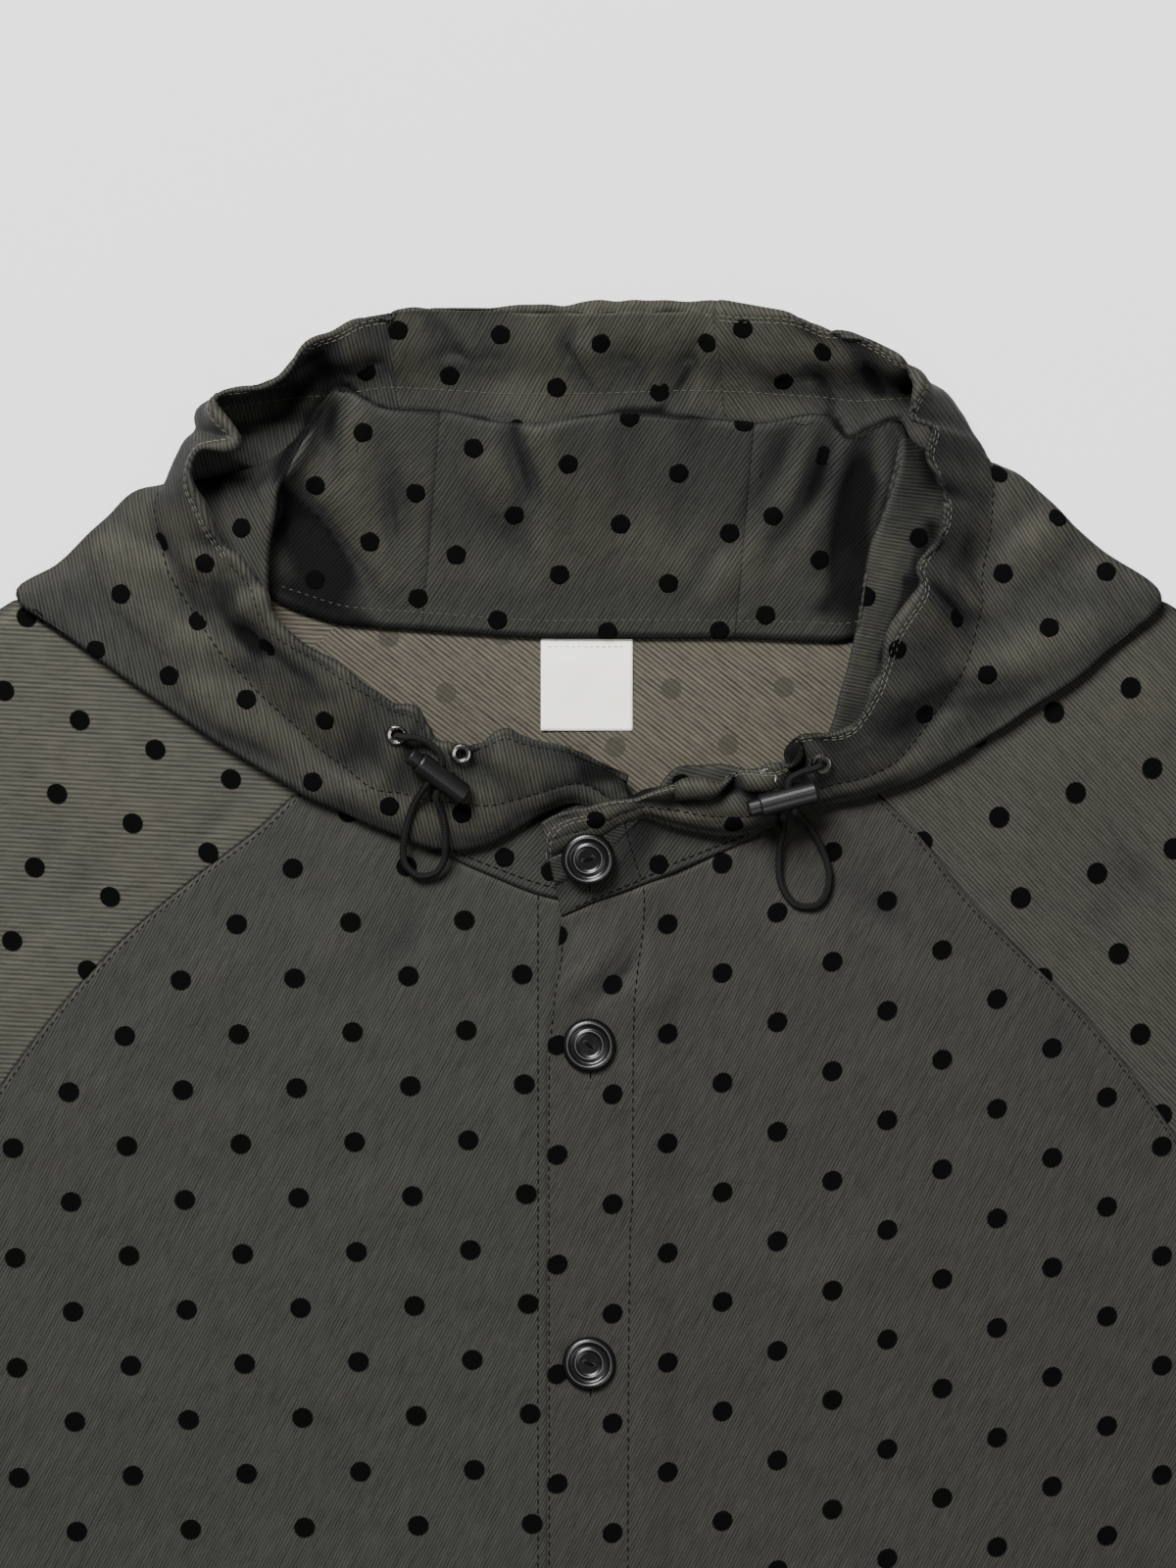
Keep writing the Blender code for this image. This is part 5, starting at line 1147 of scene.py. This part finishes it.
apart, size = buttonSettings["apart"], buttonSettings["radius"]
holeProfile = [(0.0, 1.32), (buttonSettings["hole"], 1.30), (buttonSettings["hole"], 1.0), (0.0, 1.0)]
sewnThread = along([(apart * share, 0, z) for share, z in
                    ((-1, 1.0), (-0.6, 1.62), (0, 1.75), (0.6, 1.62), (1, 1.0))], 12)
ringTurn = np.linspace(0, 2 * math.pi, 73)
for number in range(1, 7):
    node = bpy.data.objects[f"button_{number}"]
    middle, way = axisOf(node)
    tilt = Vector(way).to_track_quat("Z", "Y").to_matrix().to_4x4()
    place = (Matrix.Translation(Vector(middle - way * buttonSettings["half"])) @ tilt
             @ Matrix.Rotation(buttonSettings["turn"] * number, 4, "Z"))
    turnedMesh(f"rim_button_{number}", [(r * size, z) for r, z in buttonProfile], place, "buttonGloss",
               buttonSettings["sides"], nodes=[node.name])
    # thin lighter rings on the rims: painted highlights, where the polished rims catch the lamps
    for k, (share, high) in enumerate(buttonSettings["rings"]):
        ring = [(share * size * math.cos(a), share * size * math.sin(a), high) for a in ringTurn]
        tubeMesh(f"ring_button_{number}_{k}", [tuple(place @ Vector(p)) for p in ring],
                 buttonSettings["ring"], "buttonEdge", 8)
    # a dark disc sunk in each hole: painted shade, as the button's mesh has no holes
    for k, side in enumerate((-1, 1)):
        spot = place @ Matrix.Translation(Vector((side * apart, 0, 0)))
        turnedMesh(f"hole_button_{number}_{k}", holeProfile, spot, "holeDark", 20)
    spots = [tuple(place @ Vector(p)) for p in sewnThread]
    tubeMesh(f"thread_button_{number}", spots, buttonSettings["thread"], "stitchDark", 8)

# the eyelets and cord locks are the solids themselves
for start, surface in (("eyelet_", "darkNickel"), ("lock_", "lockSatin")):
    for node in [each for each in bpy.data.objects if each.name.startswith(start)]:
        node.data.materials.clear()
        node.data.materials.append(materials[surface])


print("stage: dots")
dotSettings = {"radius": 4.0, "round": 24, "lift": 0.2, "grid": 29.0, "clear": 15.0,
               "rings": ((0.3, 1.0), (0.6, 1.0), (0.88, 0.9), (1.0, -0.6))}
hoodDots = [  # the dots that show on the hood, in pixels of the photograph
    (484, 460), (580, 476), (692, 485), (525, 527), (633, 536), (744, 545), (466, 567), (571, 587),
    (682, 596), (620, 645), (508, 633), (734, 644), (425, 505), (378, 554), (427, 611), (322, 592),
    (323, 497), (372, 444), (788, 528), (836, 572), (838, 467), (781, 628), (758, 436), (642, 429),
    (511, 343), (613, 352), (721, 352), (568, 396), (673, 400), (459, 384), (374, 380), (407, 339),
    (757, 338), (838, 362), (799, 390), (926, 398), (38, 630), (99, 664), (174, 690), (253, 714),
    (333, 736), (320, 798), (204, 634), (125, 607), (167, 554), (212, 577), (248, 540), (275, 661),
    (1006, 689), (942, 729), (974, 631), (1069, 641), (1127, 584), (1078, 529), (1018, 484), (1022, 586),
    (515, 875), (672, 882), (472, 830), (398, 823), (748, 842), (913, 664), (936, 550), (882, 610),
    (608, 837), (562, 889)]
halfWall = hoodThick / 2
hoodFaces = gridFaces(*hood.shape[:2])
hoodSkin = np.concatenate([(hood + hoodNormals * halfWall * face).reshape(-1, 3) for face in (1, -1)])
hoodTree = treeOf(hoodSkin, np.concatenate([hoodFaces, hoodFaces + len(hoodSkin) // 2]))


def disc(centre, normal, points, faces):
    # a flocked dot in rings that follow the cloth round its centre
    first = normal.orthogonal().normalized()
    second = normal.cross(first)
    start = len(points)
    n = dotSettings["round"]
    rings = [(0.0, 0.0, 1.0)]
    rings += [(r, 2 * math.pi * k / n, high) for r, high in dotSettings["rings"] for k in range(n)]
    for share, turn, high in rings:
        reach = dotSettings["radius"] * share * (1 + 0.03 * math.sin(5 * turn + start))
        spot = centre + (first * math.cos(turn) + second * math.sin(turn)) * reach
        near, faceNormal, _, _ = hoodTree.find_nearest(spot)
        if faceNormal.dot(normal) < 0:
            faceNormal = -faceNormal
        points.append(near + faceNormal * dotSettings["lift"] * high)
    for k in range(n):
        faces.append((start, start + 1 + k, start + 1 + (k + 1) % n))
        for ring in range(len(dotSettings["rings"]) - 1):
            a, b = start + 1 + ring * n, start + 1 + (ring + 1) * n
            faces.append((a + k, b + k, b + (k + 1) % n, a + (k + 1) % n))


def fromAbove(tree, x, y):
    # where a plumb line meets the cloth, and the way up there
    hit, normal, _, _ = tree.ray_cast(Vector((x, y, 200)), Vector((0, 0, -1)))
    if hit is None:
        return None, None
    return hit, normal if normal.z > 0 else -normal


dotCentres, dotPoints, dotFaces = [], [], []
for pixel in hoodDots:
    hit, normal = fromAbove(hoodTree, *fromPixel(*pixel))
    dotCentres.append(hit)
    disc(hit, normal, dotPoints, dotFaces)
seen = len(dotCentres)


def hiddenSide(spot, outward):
    # the side of the cloth that nothing shows and nothing lies on, if there is one
    for way in (outward, -outward):
        probe = spot + way * 1.3
        shows = way.z > 0.05 and hoodTree.ray_cast(probe, Vector((0, 0, 1)))[0] is None
        taken = min((spot - centre).length for centre in dotCentres[seen - 1:]) < dotSettings["clear"]
        if not shows and not taken and hoodTree.ray_cast(probe, way, 3.0)[0] is None:
            return way
    return None


acrossHood = np.r_[0, np.cumsum(np.linalg.norm(np.diff(hood, axis=0), axis=-1).mean(axis=1))]
for row, across in enumerate(np.arange(8, acrossHood[-1], dotSettings["grid"] * 0.707)):
    i = int(np.argmin(np.abs(acrossHood - across)))
    downHood = lengths(hood[i])
    for down in np.arange(6, 320, dotSettings["grid"] * 1.414) + (row % 2) * dotSettings["grid"] * 0.707:
        if down > downHood[-1] - 5:
            continue
        j = int(np.argmin(np.abs(downHood - down)))
        spot = Vector(hood[i, j])
        way = hiddenSide(spot, Vector(hoodNormals[i, j]))
        if way is not None:
            disc(spot + way * halfWall, way, dotPoints, dotFaces)
            dotCentres.append(spot)
print("hood dots", seen, "and hidden", len(dotCentres) - seen)
addMesh("hood_dots", [tuple(p) for p in dotPoints], dotFaces, "flock")


stitchSettings = {"first": 0.4, "flat": 0.6, "uneven": 0.08, "along": (0.0, 0.22, 0.78, 1.0),
                  "taper": (0.35, 1.0, 1.0, 0.35), "sink": (-0.5, 0.4, 0.4, -0.5)}
seams = {  # the thread, the length of a stitch, its gap and its radius
    "stitch_edge": ("stitchLight", 2.2, 0.8, 0.2), "stitch_edge_turned": ("stitchDark", 2.2, 0.9, 0.2),
    "stitch_channel_band": ("stitchSame", 2.2, 1.0, 0.24), "stitch_channel": ("stitchDark", 2.4, 1.0, 0.24),
    "stitch_neck_front": ("stitchDark", 2.4, 1.0, 0.24), "stitch_neck_back": ("stitchSame", 1.9, 1.3, 0.2),
    "stitch_placket": ("stitchDark", 2.4, 1.1, 0.22), "stitch_raglan": ("stitchDark", 1.9, 1.1, 0.2),
    "stitch_buttonholes": ("stitchSame", 0.62, 0.12, 0.26), "slit_buttonholes": ("stitchDark", 3.2, 0.0, 0.3),
    "stitch_hem": ("stitchDark", 2.4, 1.1, 0.22), "stitch_label": ("stitchLight", 1.6, 0.7, 0.14)}


def stitches(name, runs, surface, stitch, gap, radius):
    # runs of small tapered capsules; each run is points and the way up
    points, faces = [], []
    for line, up in runs:
        steps = lengths(line)
        for begin in np.arange(stitchSettings["first"], steps[-1] - stitch, stitch + gap):
            reach = stitch * (1 + stitchSettings["uneven"] * math.sin(begin * 3.7))
            at = begin + np.array(stitchSettings["along"]) * reach
            spots = np.stack([np.interp(at, steps, line[:, k]) for k in range(3)], 1)
            high = unit(np.stack([np.interp(at, steps, up[:, k]) for k in range(3)], 1))
            way = unit(spots[-1] - spots[0])
            side = unit(np.cross(high, way))
            size = np.array(stitchSettings["taper"])[:, None] * radius
            sink = np.array(stitchSettings["sink"])[:, None] * radius
            start = len(points)
            for a, b in ((1, 0), (0, 1), (-1, 0), (0, -1)):
                reached = side * a + high * b * stitchSettings["flat"]
                points.extend(spots + high * sink + reached * size)
            for c in range(4):
                here, beside = start + 4 * c, start + 4 * ((c + 1) % 4)
                faces.extend((here + k, here + k + 1, beside + k + 1, beside + k) for k in range(3))
            faces.append(tuple(start + 4 * c for c in (3, 2, 1, 0)))
            faces.append(tuple(start + 4 * c + 3 for c in range(4)))
    addMesh(name, points, faces, surface)


def hoodRun(first, last, stop, lift=0.0):
    # a seam along the hood at one stop
    at = np.linspace(first, last, max(8, int(abs(last - first) * 26)))
    stops = np.full(len(at), float(stop))
    base = onHood(at, stops, 0.0)
    raised = onHood(at, stops, halfWall + 0.05 + lift)
    return raised, raised - base


def runOver(tree, line, lift):
    # a seam over the cloth, from its plan
    met = [fromAbove(tree, x, y) for x, y in line]
    met = [(hit + up * lift, up) for hit, up in met if hit is not None]
    return np.array([hit for hit, _ in met]), np.array([up for _, up in met])


def hoodPlan(pixels, count=200):
    return runOver(hoodTree, along([fromPixel(*pixel) for pixel in pixels], count), 0.05)


panelTrees = {"left": treeOf(frontLeft, gridFaces(*frontLeft.shape[:2])),
              "right": treeOf(frontRight, gridFaces(*frontRight.shape[:2]))}


def panelRun(side, line):
    return runOver(panelTrees[side], line, cut["bodyWall"] / 2 + 0.05)


def panelPlan(side, pixels, count=500):
    return panelRun(side, along([fromPixel(*pixel) for pixel in pixels], count))


def offsetLine(line, distance, count=260):
    smooth = along(line, count)
    way = unit(np.gradient(smooth, axis=0))
    return smooth + np.stack([-way[:, 1], way[:, 0]], axis=1) * distance


print("stage: sewing")
edgeStops, channel, neck, below = (8.84, 8.98), 7.2, 0.2, -0.1
placketLine = [(635, 836), (650, 890), (657, 909), (656, 950), (651, 991), (647, 1027), (645, 1230),
               (643, 1255), (641, 1470), (640, 2000), (640, 2560)]
placketEdge = [(575, 946), (574, 962), (572, 986), (567, 1012), (564, 1042), (561, 1070), (561, 1500),
               (561, 2560)]
placketTop = [(637, 840), (644, 866), (651, 888), (657, 904)]
underEdge = [(549, y) for y in (912, 1100, 1400, 1800, 2560)]
frontEnd = [[(558 + d, 877), (558 + d, 862), (562 + d, 848 + d), (578, 838 + d), (604, 831 + d)]
            for d in (0.0, 4.0)]
runs = {
    "stitch_edge": [hoodRun(a, b, stop) for a, b in ((11.2, 22.9), (29.1, 51.9)) for stop in edgeStops]
    + [hoodPlan(line) for line in frontEnd]
    + [hoodRun(22.9, 29.1, stop, -hoodThick + below) for stop in edgeStops],
    "stitch_edge_turned": [hoodRun(0.4, 11.2, 8.9, -0.12)],
    "stitch_channel_band": [hoodRun(18.0, 34.0, channel, below)],
    "stitch_channel": [hoodRun(a, b, channel, below) for a, b in ((0.5, 18.0), (34.0, 52.5))],
    "stitch_neck_front": [hoodRun(a, b, neck) for a, b in ((0.3, 6.0), (46.0, 52.8))],
    "stitch_neck_back": [hoodRun(16.5, 36.0, neck, below)],
    "stitch_placket": [hoodPlan(placketTop), panelPlan("right", placketLine),
                       panelPlan("left", underEdge, 400), panelPlan("right", placketEdge)],
    "stitch_raglan": [panelRun(name.lower(), offsetLine(curves["front" + name][:-4], side * 1.6))
                      for name, side in (("Left", 1), ("Right", -1))],
    "stitch_buttonholes": [], "slit_buttonholes": [],
    "stitch_hem": [panelRun(side, [(x, cut["hemY"] + 20) for x in np.linspace(first, last, 220)])
                   for side, first, last in (("left", -304, 16), ("right", -12, 304))]}


def holeRun(number, xs, ys):
    # a line of a buttonhole; the first buttonhole is in the hood's end
    line = list(zip(xs, ys))
    return panelRun("right", line) if number > 1 else hoodPlan([toPixel(x, y) for x, y in line], len(line))


holeSettings = {"points": 30, "first": 6.0, "last": 13.4, "sides": (-0.55, 0.55), "end": 1.0, "endY": 13.7,
                "off": 0.6}
for number in range(1, 7):
    middle, _ = axisOf(bpy.data.objects[f"button_{number}"])
    x, y, count = middle[0] + holeSettings["off"], middle[1], holeSettings["points"]
    ys = np.linspace(y - holeSettings["first"], y - holeSettings["last"], count)
    for side in holeSettings["sides"]:
        runs["stitch_buttonholes"].append(holeRun(number, np.full(count, x + side), ys))
    xs = np.linspace(x - holeSettings["end"], x + holeSettings["end"], count)
    runs["stitch_buttonholes"].append(holeRun(number, xs, np.full(count, y - holeSettings["endY"])))
    runs["slit_buttonholes"].append(holeRun(number, np.full(count, x), ys))
sewn = np.linspace(0.06, 0.94, 30)  # along the label's top, from side to side
across, row = np.rint(sewn * 29).astype(int), 28
labelRun = np.stack([labelSettings["left"] + sewn * 35, np.full(30, labelSettings["bottom"] + 32.064),
                     labelZ[row, across] + labelSettings["thick"] / 2 + 0.05], 1)
runs["stitch_label"] = [(labelRun, np.tile([0.0, 0, 1], (30, 1)))]
for name, kind in seams.items():
    stitches(name, runs[name], *kind)

print("stage: light")
lightSettings = {"key": (-0.75, 1.75, 2.0), "keySize": 1.1, "keyPower": 230.0, "fill": (1.4, -1.3, 1.9),
                 "fillSize": 1.8, "fillPower": 34.0, "world": 0.22}
floorData = bpy.data.meshes.new("floor")
floorCorners = [(x * 4, y * 4, -0.0004) for x, y in ((-1, -1), (1, -1), (1, 1), (-1, 1))]
floorData.from_pydata(floorCorners, [], [(0, 1, 2, 3)])
floorData.materials.append(materials["floorPaint"])
floor = bpy.data.objects.new("floor", floorData)
wholeScene.collection.objects.link(floor)
for name in ("key", "fill"):
    lampData = bpy.data.lights.new(name, "AREA")
    lampData.size = lightSettings[name + "Size"]
    lampData.energy = lightSettings[name + "Power"]
    lamp = bpy.data.objects.new(name, lampData)
    lamp.location = lightSettings[name]
    lamp.rotation_euler = (Vector((0, 0.24, 0)) - lamp.location).to_track_quat("-Z", "Y").to_euler()
    wholeScene.collection.objects.link(lamp)
world = bpy.data.worlds.new("studio")
world.use_nodes = True
world.node_tree.nodes["Background"].inputs[0].default_value = (1, 1, 1, 1)
world.node_tree.nodes["Background"].inputs[1].default_value = lightSettings["world"]
wholeScene.world = world
